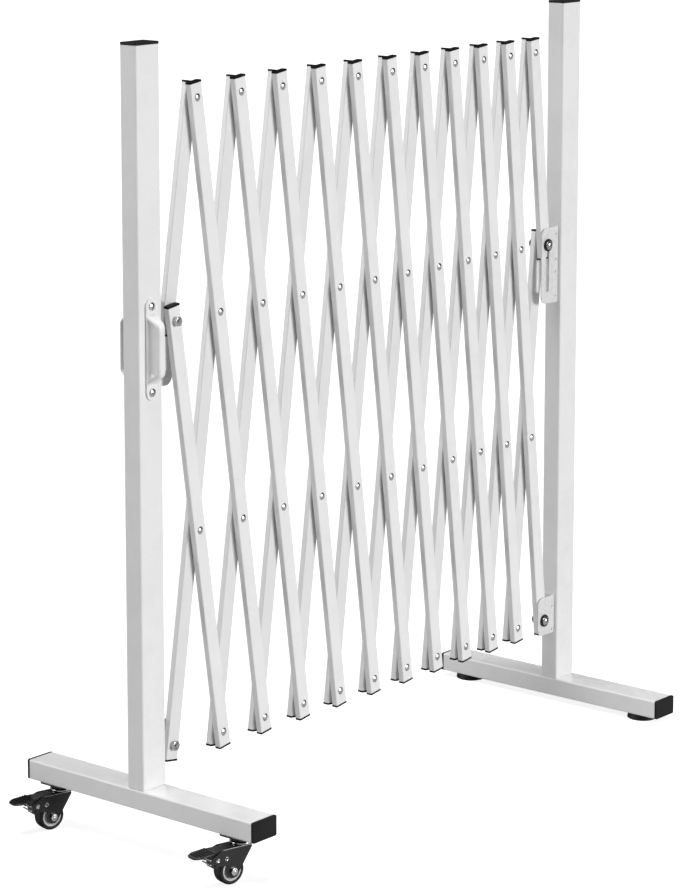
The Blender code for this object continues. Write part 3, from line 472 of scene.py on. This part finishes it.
class Growth(Nodes):
    """A Geometry Nodes tree with named inputs that grows plain meshes."""

    def __init__(self, name, **inputs):
        self.group = bpy.data.node_groups.new(name, "GeometryNodeTree")
        super().__init__(self.group)
        face = self.group.interface
        self.keys = {label: face.new_socket(label, in_out="INPUT", socket_type="NodeSocket" + kind).identifier
                     for label, kind in inputs.items()}
        face.new_socket("Mesh", in_out="OUTPUT", socket_type="NodeSocketGeometry")
        source = self.tree.nodes.new("NodeGroupInput")
        self.given = {label: Wire(self, source.outputs[label]) for label in inputs}

    def lean(self, shape):
        """Turns the shape to the bar's lean about Y, and sets it at the bar's place."""
        turn = self.add("ShaderNodeCombineXYZ", sockets={"Y": self.given["Lean"]})
        return self.add("GeometryNodeTransform", sockets={
            "Geometry": shape, "Translation": self.given["Place"], "Rotation": turn})

    def close(self, shape):
        real = self.add("GeometryNodeRealizeInstances", sockets={"Geometry": shape})
        painted = self.add("GeometryNodeSetMaterial", sockets={
            "Geometry": real, "Material": self.given["Paint"]})
        self.join(self.tree.nodes.new("NodeGroupOutput").inputs[0], painted)

    def grow(self, **values):
        blank = held("blank", bpy.data.meshes.new("blank"))
        modifier = blank.modifiers.new("growth", "NODES")
        modifier.node_group = self.group
        for label, value in values.items():
            modifier[self.keys[label]] = value
        return meshed(blank)


tube = Growth("bar_tube", Length="Float", Place="Vector", Lean="Float", Paint="Material")
half = tube.given["Length"] * 0.5
square = tube.add("GeometryNodeCurvePrimitiveQuadrilateral", sockets={
    "Width": BAR_SECTION[0], "Height": BAR_SECTION[1]})
section = tube.add("GeometryNodeFilletCurve", {"mode": "POLY"}, {
    "Curve": square, "Radius": BAR_CORNER, "Count": 5})
line = tube.add("GeometryNodeCurvePrimitiveLine", sockets={
    "Start": tube.add("ShaderNodeCombineXYZ", sockets={"Z": half * -1.0}),
    "End": tube.add("ShaderNodeCombineXYZ", sockets={"Z": half})})
swept = tube.add("GeometryNodeCurveToMesh", sockets={
    "Curve": line, "Profile Curve": section, "Fill Caps": True})
tube.close(tube.lean(swept))

# The back bars' coat is darker only as painted shade: it stands in for the front layer's shadow on the back
# layer.
bar_white = {"front": powder_coat("satin_white_front_bars", 0.86, 0.28),
             "back": powder_coat("satin_white_back_bars_painted_shade", 0.79, 0.30)}
bars = []
for layer, columns in (("front", range(-1, 11)), ("back", range(12))):
    for column in columns:
        first, last = (-1, 10) if layer == "front" else (0, 11)
        number = column + 1 if layer == "front" else column
        label = {first: "left_short", last: "right_short"}.get(column, f"{number:02d}")
        rows = 4 if first < column < last else 3 if (layer == "front") == (column == first) else 2
        middle_step = 2 * column + (1.5 if layer == "front" else -1.5)
        lean = math.asin((FIRST_HALF_PITCH - PITCH_LOSS * middle_step) / ROW_SPACING)
        low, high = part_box(f"{layer}_bar_{label}")
        way = -1 if layer == "front" else 1
        bars.append({"layer": layer, "label": label, "rows": rows, "lean": lean * way,
                     "place": Vector(((low.x + high.x) / 2, way * LAYER_OFFSET, (low.z + high.z) / 2)),
                     "length": (rows - 1) * ROW_SPACING + 2 * END_MARGIN})
for bar in bars:
    name = f"{bar['layer']}_bar_{bar['label']}"
    coat = bar_white[bar["layer"]]
    mesh = tube.grow(Length=bar["length"], Place=bar["place"], Lean=bar["lean"], Paint=coat.material)
    piece(f"bar_tube_{bar['layer']}_{bar['label']}", mesh, coat, name, "bar_white", name)


# Bar plugs
# Black moulded plugs close both ends of every bar; a 3 mm flange with rounded edges covers the tube's edge.
# They come from the same moulding as the caps on the posts, only smaller.
PLUG_FLANGE = 0.0030
PLUG_OVERHANG = 0.0007
PLUG_ROUNDING = 0.0006

plug_black = moulded("black_bar_plugs", 0.004, 0.55, 0.1)
row_of = Growth("pieces_along_a_bar", Piece="Object", Start="Float", Spacing="Float", Count="Int",
                Turn="Float", Place="Vector", Lean="Float", Paint="Material")
points = row_of.add("GeometryNodeMeshLine", {"mode": "OFFSET"}, {
    "Count": row_of.given["Count"],
    "Start Location": row_of.add("ShaderNodeCombineXYZ", sockets={"Z": row_of.given["Start"]}),
    "Offset": row_of.add("ShaderNodeCombineXYZ", sockets={"Z": row_of.given["Spacing"]})})
shown = row_of.add("GeometryNodeObjectInfo", sockets={"Object": row_of.given["Piece"]}, output="Geometry")
place_in_row = row_of.add("GeometryNodeInputIndex")
strung = row_of.add("GeometryNodeInstanceOnPoints", sockets={
    "Points": points, "Instance": shown,
    "Rotation": row_of.add("ShaderNodeCombineXYZ", sockets={"Y": place_in_row * row_of.given["Turn"]})})
row_of.close(row_of.lean(strung))

size = [side_length + PLUG_OVERHANG for side_length in BAR_SECTION]
plug = held("plug", rounded(prism(outline(*size, BAR_CORNER), 0, PLUG_FLANGE), PLUG_ROUNDING, 3))
for bar in bars:
    mesh = row_of.grow(Piece=plug, Start=bar["length"] / 2, Spacing=-bar["length"], Count=2, Turn=math.pi,
                       Place=bar["place"], Lean=bar["lean"], Paint=plug_black.material)
    piece(f"bar_plugs_{bar['layer']}_{bar['label']}", mesh, plug_black, f"{bar['layer']}_bar_{bar['label']}",
          "black_plastic")
bpy.data.objects.remove(plug)


# Rivets
# Zinc-plated steel rivets join the layers at each crossing, with a domed head in front, a pressed tail behind
# and a short spacer that keeps the layers 3 mm apart. The back bars turn on the rivets of the front bars.
RIVET_HEAD = (0.006, 0.0021)
RIVET_TAIL = (0.0048, 0.0014)
RIVET_SHANK = 0.0025
SPACER = (0.005, 0.0012)
LATTICE_HALF = 0.0115
RIVET_PLAY = 0.0003

crown = (RIVET_HEAD[0] ** 2 + RIVET_HEAD[1] ** 2) / (2 * RIVET_HEAD[1])
sweep = math.degrees(math.asin(RIVET_HEAD[0] / crown))
front, behind = LATTICE_HALF, -LATTICE_HALF - RIVET_PLAY
dome = arc((0, front + RIVET_HEAD[1] - crown), crown, 90, 90 - sweep, 8)
rivet_profile = [*dome, (RIVET_HEAD[0], front), (RIVET_SHANK, front - 0.0004), (RIVET_SHANK, SPACER[1]),
                 SPACER, (SPACER[0], -SPACER[1]), (RIVET_SHANK, -SPACER[1]), (RIVET_SHANK, behind),
                 (RIVET_TAIL[0], behind), (RIVET_TAIL[0] - 0.0005, behind - 0.7 * RIVET_TAIL[1]),
                 (RIVET_TAIL[0] * 0.6, behind - RIVET_TAIL[1]), (0, behind - 0.8 * RIVET_TAIL[1])]
rivet = held("rivet", meshed(gathered((turned(rivet_profile, 32), ALONG_Y))))
rivet_zinc = plated("zinc_rivets", 0.66, 0.25)
for bar in bars:
    if bar["layer"] == "front":
        count = {"left_short": 2, "right_short": 1, "10": 3}.get(bar["label"], bar["rows"])
        start = (bar["rows"] - 1) * ROW_SPACING / 2
        skipped = 1 if bar["label"] == "left_short" else 0
        level = Vector((bar["place"].x, 0, bar["place"].z))
        mesh = row_of.grow(Piece=rivet, Start=start - skipped * ROW_SPACING, Spacing=-ROW_SPACING,
                           Count=count, Turn=0.0, Place=level, Lean=bar["lean"], Paint=rivet_zinc.material)
        piece(f"rivets_front_{bar['label']}", mesh, rivet_zinc, f"front_bar_{bar['label']}", "zinc")
bpy.data.objects.remove(rivet)


# Pull handles
# White pressed-steel pulls, one on the front of the caster stand's post and one on its rear.
# Each rises from round ears to a grip that is closed on one side and open on the other for the fingers.
HOLE_TO_CENTRE = 0.0623
EAR_RADIUS = 0.011
GRIP_HALF = 0.033
RISE_RUN = 0.018
GRIP_REACH = 0.0222
SHELL = 0.0025
HANDLE_GAP = 0.0003
WAIST = 0.42


def handle_shell():
    """Pressed sheet with its back on y = 0, seen from -Y with its closed side on -X."""
    section = [(-1.0, 0), (-0.97, 0.01), (-0.93, 0.04), (-0.90, 0.10), (-0.88, 0.20), (-0.87, 0.35),
               (-0.86, 0.52), (-0.84, 0.66), (-0.80, 0.78), (-0.74, 0.87), (-0.68, 0.915), (-0.66, 0.90),
               (-0.64, 0.915), (-0.60, 0.965), (-0.54, 0.99), (-0.40, 1.0), (-0.1, 1.0), (0.2, 1.0),
               (0.5, 1.0), (0.66, 0.99), (0.76, 0.96), (0.83, 0.91), (0.87, 0.85)]
    length = HOLE_TO_CENTRE + EAR_RADIUS
    stations = [math.sin(math.pi * (i / 96 - 0.5)) * length for i in range(97)]
    bm = bmesh.new()
    rows = []
    for z in stations:
        beyond = max(0.0, abs(z) - HOLE_TO_CENTRE)
        width = math.sqrt(max(EAR_RADIUS ** 2 - beyond ** 2, 1e-8))
        run = min(1, max(0, (GRIP_HALF + RISE_RUN - abs(z)) / RISE_RUN))
        rise = run * run * (3 - 2 * run)
        row = []
        for across, height in section:
            flat = -1 + 2 * (across + 1) / 1.87
            waist = 1 - (1 - min(1, height / 0.45)) ** 3
            x = (flat + (across - flat) * rise) * width * (1 - WAIST * rise * waist) + 0.001 * rise
            row.append(bm.verts.new((x, -height * rise * (GRIP_REACH - SHELL), z)))
        rows.append(row)
    for low, high in zip(rows, rows[1:]):
        for i in range(len(section) - 1):
            bm.faces.new((low[i], low[i + 1], high[i + 1], high[i]))
    mesh = bpy.data.meshes.new("shell")
    bm.to_mesh(mesh)
    bm.free()
    blank = held("blank", mesh)
    shell = blank.modifiers.new("sheet", "SOLIDIFY")
    shell.thickness, shell.offset = SHELL, 1
    return rounded(meshed(blank), 0.0005, 2, 55)


handle_white = powder_coat("satin_white_handles", 0.86, 0.28)
post_y = post_centre["left"].y
for end, turn in (("front", 0), ("rear", math.pi)):
    low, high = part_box(f"{end}_pull_handle")
    face_y = post_y - (POST_SIZE[1] / 2 + HANDLE_GAP) * (1 if end == "front" else -1)
    spot = (post_centre["left"].x, face_y, (low.z + high.z) / 2)
    place = Matrix.Translation(spot) @ Matrix.Rotation(turn, 4, "Z")
    piece(f"pull_handle_{end}", handle_shell(), handle_white, "left_stand", "handle_white",
          f"{end}_pull_handle", place=place, crease=50)


# Handle screws
# Two zinc-plated pan-head screws hold each handle through the post's wall, one in each ear.
# Each has a cross recess in its head.
SCREW_HEAD = (0.0060, 0.0030)
SCREW_RIM = 0.0012
CROSS = (0.0066, 0.0015)

dome_rise = SCREW_HEAD[1] - SCREW_RIM
cap_curve = (SCREW_HEAD[0] ** 2 + dome_rise ** 2) / (2 * dome_rise)
spread = math.degrees(math.asin(SCREW_HEAD[0] / cap_curve))
dome = arc((0, SHELL + SCREW_HEAD[1] - cap_curve), cap_curve, 90, 90 - spread, 6)
pan = turned([*dome, (SCREW_HEAD[0] + 0.0002, SHELL + 0.0008), (SCREW_HEAD[0], SHELL - 0.0002),
              (0, SHELL - 0.0002)], 32)
slot_of_cross = outline(*CROSS, 0.0003, 2)
for turn in (0, math.pi / 2):
    slot_tool = gathered((prism(slot_of_cross, SHELL + 0.0006, SHELL + 0.004), Matrix.Rotation(turn, 4, "Z")))
    pan = shaped("DIFFERENCE", pan, slot_tool)
screw = held("screw", meshed(gathered((pan, ALONG_Y))))
screw_zinc = plated("zinc_screws", 0.72, 0.24)
for end, way in (("front", 1), ("rear", -1)):
    source = screw.copy()
    source.data = screw.data.copy()
    source.data.transform(Matrix.Rotation(0 if way > 0 else math.pi, 4, "Z"))
    scene.collection.objects.link(source)
    low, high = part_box(f"{end}_pull_handle")
    face_y = post_y - way * (POST_SIZE[1] / 2 + HANDLE_GAP)
    centre = Vector((post_centre["left"].x, face_y, (low.z + high.z) / 2))
    mesh = row_of.grow(Piece=source, Start=-HOLE_TO_CENTRE, Spacing=2 * HOLE_TO_CENTRE, Count=2, Turn=0.0,
                       Place=centre, Lean=0.0, Paint=screw_zinc.material)
    piece(f"handle_screws_{end}", mesh, screw_zinc, "left_stand", "zinc")
    bpy.data.objects.remove(source)
bpy.data.objects.remove(screw)


# Caster plates
# Black-coated steel plates of 3 mm are fixed under the foot, with the swivel's ball race pressed into them.
# Two bright plated rings of the race show between the plate and the fork.
MOUNT_PLATE = (0.046, 0.003)
MOUNT_CORNER = 0.004
PLATE_TOP = 0.0697
CUP = 0.0165
RACE_RING = [(0.0150, 0), (0.0168, -0.0004), (0.0170, -0.0010), (0.0168, -0.0016), (0.0150, -0.0020)]
RACE_DROPS = (0.0012, 0.0066)
CASTER_TURN = math.radians(-14)
FORK_TOP = 0.0574

metal_black = moulded("black_coated_steel", 0.010, 0.24, 0.08, 0.7)
race_zinc = plated("zinc_races", 0.72, 0.26)
caster_place = {}
for end in ("front", "rear"):
    low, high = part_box(f"{end}_caster_plate")
    spot = Vector(((low.x + high.x) / 2, (low.y + high.y) / 2, 0))
    caster_place[end] = Matrix.Translation(spot) @ Matrix.Rotation(CASTER_TURN, 4, "Z")
    under = PLATE_TOP - MOUNT_PLATE[1]
    square = rounded(prism(outline(MOUNT_PLATE[0], MOUNT_PLATE[0], MOUNT_CORNER), under, PLATE_TOP), 0.0006)
    cup = turned([(0, under + 0.001), (CUP - 0.001, under + 0.001), (CUP, under - 0.001),
                  (CUP, under - 0.0035), (CUP - 0.003, under - 0.0042), (CUP - 0.004, under - 0.0052),
                  (CUP - 0.003, under - 0.0062), (CUP, under - 0.0072), (CUP, FORK_TOP + 0.0005),
                  (0, FORK_TOP + 0.0005)], 48)
    middle = Matrix.Translation(spot)
    piece(f"caster_plate_{end}", gathered((square, Matrix()), (cup, Matrix())), metal_black, "left_stand",
          "black_metal", f"{end}_caster_plate", place=middle)
    rings = [(turned(RACE_RING, 48, closed=True), Matrix.Translation((0, 0, under - drop)))
             for drop in RACE_DROPS]
    piece(f"caster_race_rings_{end}", gathered(*rings), race_zinc, "left_stand", "zinc", place=middle)


# Caster forks
# Each fork is pressed from 2 mm sheet, folded down over both sides of the wheel, and coated black.
# The sides run from the heel round the axle to the nose that carries the pedal's pin.
FORK_OUTER = 0.025
FORK_INNER = 0.021
FORK_BEND = 0.003
AXLE_AT = (-0.022, 0.021)
PIN_AT = (-0.048, 0.042)
ACROSS_X = Matrix(((0, 0, 1, 0), (1, 0, 0, 0), (0, 1, 0, 0), (0, 0, 0, 1)))
KINGPIN = [(0, 0.0662), (0.004, 0.0662), (0.004, 0.0560), (0.0066, 0.0552), (0.0066, 0.0535), (0, 0.0532)]


def filleted(points, radii, steps=5):
    """Closed outline with each corner rounded by its radius; a radius of 0 keeps the corner."""
    result = []
    for i, (corner, radius) in enumerate(zip(points, radii)):
        corner = Vector(corner)
        before, after = Vector(points[i - 1]) - corner, Vector(points[(i + 1) % len(points)]) - corner
        half = before.angle(after) / 2
        if radius == 0 or half > 1.55:
            result.append(tuple(corner))
            continue
        run = min(radius / math.tan(half), 0.48 * before.length, 0.48 * after.length)
        start, end = corner + before.normalized() * run, corner + after.normalized() * run
        for step in range(steps + 1):
            t = step / steps
            result.append(tuple((1 - t) ** 2 * start + 2 * t * (1 - t) * corner + t ** 2 * end))
    return result


def fork_body():
    """Folded sheet about the swivel axis, with z = 0 on the floor."""
    side = [(0.010, FORK_TOP), (-0.034, FORK_TOP), (-0.0575, 0.0465), (-0.0575, 0.0385), (-0.053, 0.0375),
            (-0.051, 0.0335), (-0.045, 0.0325), (-0.0325, 0.0315)]
    side = filleted(side, [0, 0.006, 0.003, 0.001, 0.001, 0.0015, 0.003, 0.004])
    side += arc(AXLE_AT, 0.010, 180, 340, 16) + [(0.010, 0.0515)]
    half, inner = FORK_OUTER / 2, FORK_INNER / 2
    top = FORK_TOP - FORK_BEND
    fold = [(half, 0), *arc((half - FORK_BEND, top), FORK_BEND, 0, 90),
            *arc((FORK_BEND - half, top), FORK_BEND, 90, 180), (-half, 0),
            (-inner, 0), *arc((0.001 - inner, top), 0.001, 180, 90, 4),
            *arc((inner - 0.001, top), 0.001, 90, 0, 4), (inner, 0)]
    folded = gathered((prism(fold, -0.08, 0.03), ACROSS_X))
    sheet = shaped("INTERSECT", folded, gathered((prism(side, -0.03, 0.03), ALONG_Y)))
    mouth = gathered((prism(outline(0.06, FORK_INNER, 0.002), FORK_TOP - 0.004, FORK_TOP + 0.004),
                      Matrix.Translation((-0.0498, 0, 0))))
    return rounded(shaped("DIFFERENCE", sheet, mouth), 0.0005)


for end, place in caster_place.items():
    parts = gathered((fork_body(), Matrix()), (turned(KINGPIN, 32), Matrix()))
    piece(f"caster_fork_{end}", parts, metal_black, f"{end}_caster", "black_metal", f"{end}_caster_fork",
          place=place)


# Fork rivets and spring
# Two hollow plated rivets close each side of the fork; the first is the pedal's pin.
# The ends of the brake's wire spring stand out beside the nose.
EYELET = [(0.0013, 0.0), (0.0033, 0.0), (0.0034, 0.0004), (0.0029, 0.0010), (0.0022, 0.0013),
          (0.0015, 0.0010), (0.0013, 0.0004)]
EYELET_STEP = 0.0150
WIRE = [(0, 0.0115), (0.0010, 0.0112), (0.0012, 0.0105), (0.0012, -0.0105), (0.0010, -0.0112), (0, -0.0115)]
WIRE_PLACES = ((-0.0592, 0.0440), (-0.0592, 0.0372))
PIN_ROD = [(0, 0.0128), (0.0013, 0.0128), (0.0013, -0.0128), (0, -0.0128)]

for end, place in caster_place.items():
    parts = []
    for way in (1, -1):
        outward = ALONG_Y if way > 0 else Matrix.Rotation(-math.pi / 2, 4, "X")
        for x in (PIN_AT[0], PIN_AT[0] + EYELET_STEP):
            ring = [(radius, FORK_OUTER / 2 + height) for radius, height in EYELET]
            parts.append((turned(ring, 32, closed=True), Matrix.Translation((x, 0, PIN_AT[1])) @ outward))
    for profile, (x, z) in ((WIRE, WIRE_PLACES[0]), (WIRE, WIRE_PLACES[1]), (PIN_ROD, PIN_AT)):
        parts.append((turned(profile, 16), Matrix.Translation((x, 0, z)) @ ALONG_Y))
    piece(f"fork_rivets_{end}", gathered(*parts), race_zinc, f"{end}_caster", "zinc", place=place)


# Wheels
# Black rubber tyres of 42 mm on pale moulded hubs, held by a plated axle bolt with a nut on each side.
# The hub's rim stands out as a light ring round a dished centre.
WHEEL = (0.021, 0.018)
HUB = 0.0155
TYRE_EDGE = 0.0032
AXLE_NUT = (0.0058, 0.004, 0.0006)


def worn_rubber(name, shade):
    """Rubber: matt, with a slightly worn and dusty tread."""
    tread = Finish(name, IOR=1.5, Specular_IOR_Level=0.25)
    dust, grain = tread.noise(220, 4), tread.noise(2400, 2)
    tread.tint(tread.between(dust, 0.35, 0.7), shade * 0.8, shade * 1.8)
    tread.feed("Roughness", 0.52 + (dust - 0.5) * 0.3)
    tread.dent(grain + dust, 0.3, 0.00008)
    return tread


rubber = worn_rubber("black_rubber", 0.009)
hub_pale = moulded("pale_moulded_hubs", 0.62, 0.3, 0.05)
axle_zinc = plated("zinc_axles", 0.74, 0.24)
half = WHEEL[1] / 2
for end, place in caster_place.items():
    middle = place @ Matrix.Translation((AXLE_AT[0], 0, AXLE_AT[1])) @ ALONG_Y
    edge = (WHEEL[0] - TYRE_EDGE, half - TYRE_EDGE)
    tread = [*arc(edge, TYRE_EDGE, 90, 20, 6), (WHEEL[0] - 0.0001, half * 0.4), (WHEEL[0], 0),
             (WHEEL[0] - 0.0001, -half * 0.4), *arc((edge[0], -edge[1]), TYRE_EDGE, -20, -90, 6)]
    section = [(HUB + 0.0002, half - 0.0004), *tread, (HUB + 0.0002, 0.0004 - half)]
    piece(f"tyre_{end}", turned(section, 72, closed=True), rubber, f"{end}_wheel", "black_rubber",
          f"{end}_tyre", place=middle)
    face = [(0.0033, half - 0.001), (0.0058, half - 0.001), (0.0062, half - 0.0035), (0.0095, half - 0.0040),
            (0.0118, half - 0.0016), (0.0124, half - 0.0005), (0.0131, half - 0.0009),
            (0.0137, half - 0.0003), (HUB - 0.0004, half - 0.0001), (HUB, half - 0.0006)]
    section = face + [(radius, -height) for radius, height in reversed(face)]
    piece(f"wheel_hub_{end}", turned(section, 72, closed=True), hub_pale, f"{end}_wheel", "hub_white",
          f"{end}_wheel_hub", place=middle)
    start = FORK_OUTER / 2 + 0.0003
    half_bolt = [(0, start + 0.0046), (0.0018, start + 0.0045), (0.0029, start + 0.0038)]
    bolt = turned(half_bolt + [(radius, -height) for radius, height in reversed(half_bolt)], 32)
    radius, thickness, chamfer = AXLE_NUT
    nuts = [(hexagon(radius, inner, inner + thickness, chamfer), Matrix())
            for inner in (start, -start - thickness)]
    piece(f"axle_{end}", gathered((bolt, Matrix()), *nuts), axle_zinc, f"{end}_caster", "zinc",
          f"{end}_axle", place=middle)


# Brake pedals
# Black moulded levers turn on the nose's pin. Each has a tongue for the foot and a shoe at the tyre.
# Ribs run across the tongue for grip.
PEDAL_TOP = 0.0571
PEDAL_SHEET = 0.003
TONGUE_ROOT = -0.0200
TONGUE_TIP = -0.087
TONGUE_DROP = 0.005
TONGUE = [(0, -0.0098), (0, 0.0098), (-0.022, 0.0098), (-0.036, 0.0140), (-0.056, 0.0150), (-0.067, 0.0085),
          (-0.067, -0.0085), (-0.056, -0.0150), (-0.036, -0.0140), (-0.022, -0.0098)]
TONGUE_CORNERS = [0, 0, 0.006, 0.012, 0.01, 0.009, 0.009, 0.01, 0.012, 0.006]
LEVER = [(-0.0215, 0.0560), (-0.0530, 0.0530), (-0.0530, 0.0292), (-0.0443, 0.0292), (-0.0420, 0.0375),
         (-0.0420, 0.0460), (-0.0300, 0.0525)]
LEVER_CORNERS = [0, 0, 0.002, 0.001, 0.003, 0.004, 0.006]
LEVER_HALF = 0.0098
RIB = (0.0019, 0.0270, 0.0008)
RIB_COUNT = 6
RIB_PITCH = 0.0047
FIRST_RIB = 0.036

pedal_black = moulded("black_moulded_pedals", 0.011, 0.28, 0.1, 0.6)
ribs = Growth("ribs_across_the_tongue", Piece="Object", Count="Int", Pitch="Float", Paint="Material")
points = ribs.add("GeometryNodeMeshLine", {"mode": "OFFSET"}, {
    "Count": ribs.given["Count"],
    "Offset": ribs.add("ShaderNodeCombineXYZ", sockets={"X": ribs.given["Pitch"]})})
shown = ribs.add("GeometryNodeObjectInfo", sockets={"Object": ribs.given["Piece"]}, output="Geometry")
taper = ribs.add("ShaderNodeCombineXYZ", sockets={
    "X": 1.0, "Y": ribs.add("GeometryNodeInputIndex") * -0.05 + 1.0, "Z": 1.0})
ribs.close(ribs.add("GeometryNodeInstanceOnPoints", sockets={
    "Points": points, "Instance": shown, "Scale": taper}))

slope = math.atan2(TONGUE_DROP, TONGUE_ROOT - TONGUE_TIP)
tilt = Matrix.Translation((TONGUE_ROOT, 0, PEDAL_TOP)) @ Matrix.Rotation(-slope, 4, "Y")
for end, place in caster_place.items():
    tongue = rounded(prism(filleted(TONGUE, TONGUE_CORNERS)[::-1], -PEDAL_SHEET, 0), 0.0009, 3)
    side = filleted(LEVER, LEVER_CORNERS)
    lever = rounded(gathered((prism(side, -LEVER_HALF, LEVER_HALF), ALONG_Y)), 0.0006)
    rib = held("rib", rounded(prism(outline(*RIB, 3), -0.0004, 0.0014), 0.0005))
    grown = ribs.grow(Piece=rib, Count=RIB_COUNT, Pitch=-RIB_PITCH, Paint=pedal_black.material)
    bpy.data.objects.remove(rib)
    on_tongue = tilt @ Matrix.Translation((-FIRST_RIB, 0, 0))
    parts = gathered((tongue, tilt), (lever, Matrix()), (grown, on_tongue))
    piece(f"brake_pedal_{end}", parts, pedal_black, f"{end}_pedal", "black_plastic",
          f"{end}_brake_pedal", place=place)


# Rubber feet
# Black rubber discs of 50 mm by 10 mm carry the fixed stand's foot, one near each end.
# They are moulded, with a broken upper edge and a soft bulge at the floor.
PAD = (0.025, 0.0097)

for end in ("front", "rear"):
    low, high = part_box(f"{end}_rubber_foot")
    spot = Matrix.Translation(((low.x + high.x) / 2, (low.y + high.y) / 2, 0))
    neck = PAD[0] - 0.0024
    profile = [(0, PAD[1]), (neck, PAD[1]), *arc((neck, PAD[1] - 0.001), 0.001, 80, 0, 4),
               (PAD[0] - 0.0003, 0.0022), *arc((PAD[0] - 0.0015, 0.0015), 0.0015, 0, -90, 5), (0, 0)]
    piece(f"rubber_foot_{end}", turned(profile, 64), rubber, "right_stand", "black_rubber",
          f"{end}_rubber_foot", place=spot)


# Studio
# A pale floor and a white surround with three soft lamps: in front, overhead, and low at the left rear.
# The camera looks a little down. Its picture is shifted, since the photo's uprights are nearly parallel.
EYE = (-3.66586, -3.03399, 1.58004)
HEADING = math.radians(50.09453)
PITCH = math.radians(9.23305)
LENS = 126.61
LENS_SHIFT = -0.2
SENSOR = 36
VIEW_DEPTH = 200
FLOOR_REACH = 60
FLOOR_GREYS = (0.43, 0.45)
FLOOR_GLOW = 0.85
LAMPS = {"front": ((0.24, -0.95, 0.20), 2.15, 24), "overhead": ((-0.20, 0.0, 0.98), 2.45, 25),
         "left_rear": ((-0.779, 0.625, 0.03), 1.25, 24)}
FILL = 0.06


def seen_by_camera(nodes):
    return nodes.add("ShaderNodeLightPath", output="Is Camera Ray")


floor = Finish("pale_floor", Roughness=0.9)
dust = floor.noise(3, 2)
floor.tint(dust, *FLOOR_GREYS)
glow = floor.add("ShaderNodeEmission", sockets={"Strength": seen_by_camera(floor) * FLOOR_GLOW})
mixed = floor.add("ShaderNodeAddShader", sockets={0: Wire(floor, floor.shader.outputs[0]), 1: glow})
floor.join(floor.tree.nodes["Material Output"].inputs["Surface"], mixed)
ground = bpy.data.meshes.new("floor")
corners = [(x * FLOOR_REACH, y * FLOOR_REACH, 0) for x, y in ((-1, -1), (1, -1), (1, 1), (-1, 1))]
ground.from_pydata(corners, [], [(0, 1, 2, 3)])
ground.materials.append(floor.material)
held("floor", ground)

surround = bpy.data.worlds.new("surround")
surround.use_nodes = True
sky = Nodes(surround.node_tree)
background = surround.node_tree.nodes["Background"]
sky.join(background.inputs["Strength"], seen_by_camera(sky) * (1 - FILL) + FILL)
background.inputs["Color"].default_value = (1, 1, 1, 1)
scene.world = surround

for name, (way, strength, width) in LAMPS.items():
    lamp = bpy.data.lights.new(name, "SUN")
    lamp.energy, lamp.angle = strength, math.radians(width)
    obj = bpy.data.objects.new(name, lamp)
    scene.collection.objects.link(obj)
    obj.rotation_euler = Vector(way).to_track_quat("Z", "Y").to_euler()

camera = bpy.data.cameras.new("camera")
camera.lens, camera.sensor_width, camera.shift_y, camera.clip_end = LENS, SENSOR, LENS_SHIFT, VIEW_DEPTH
viewer = bpy.data.objects.new("camera", camera)
scene.collection.objects.link(viewer)
viewer.location = EYE
viewer.rotation_euler = (math.pi / 2 - PITCH, 0, -HEADING)
scene.camera = viewer
scene.view_settings.view_transform = "Standard"
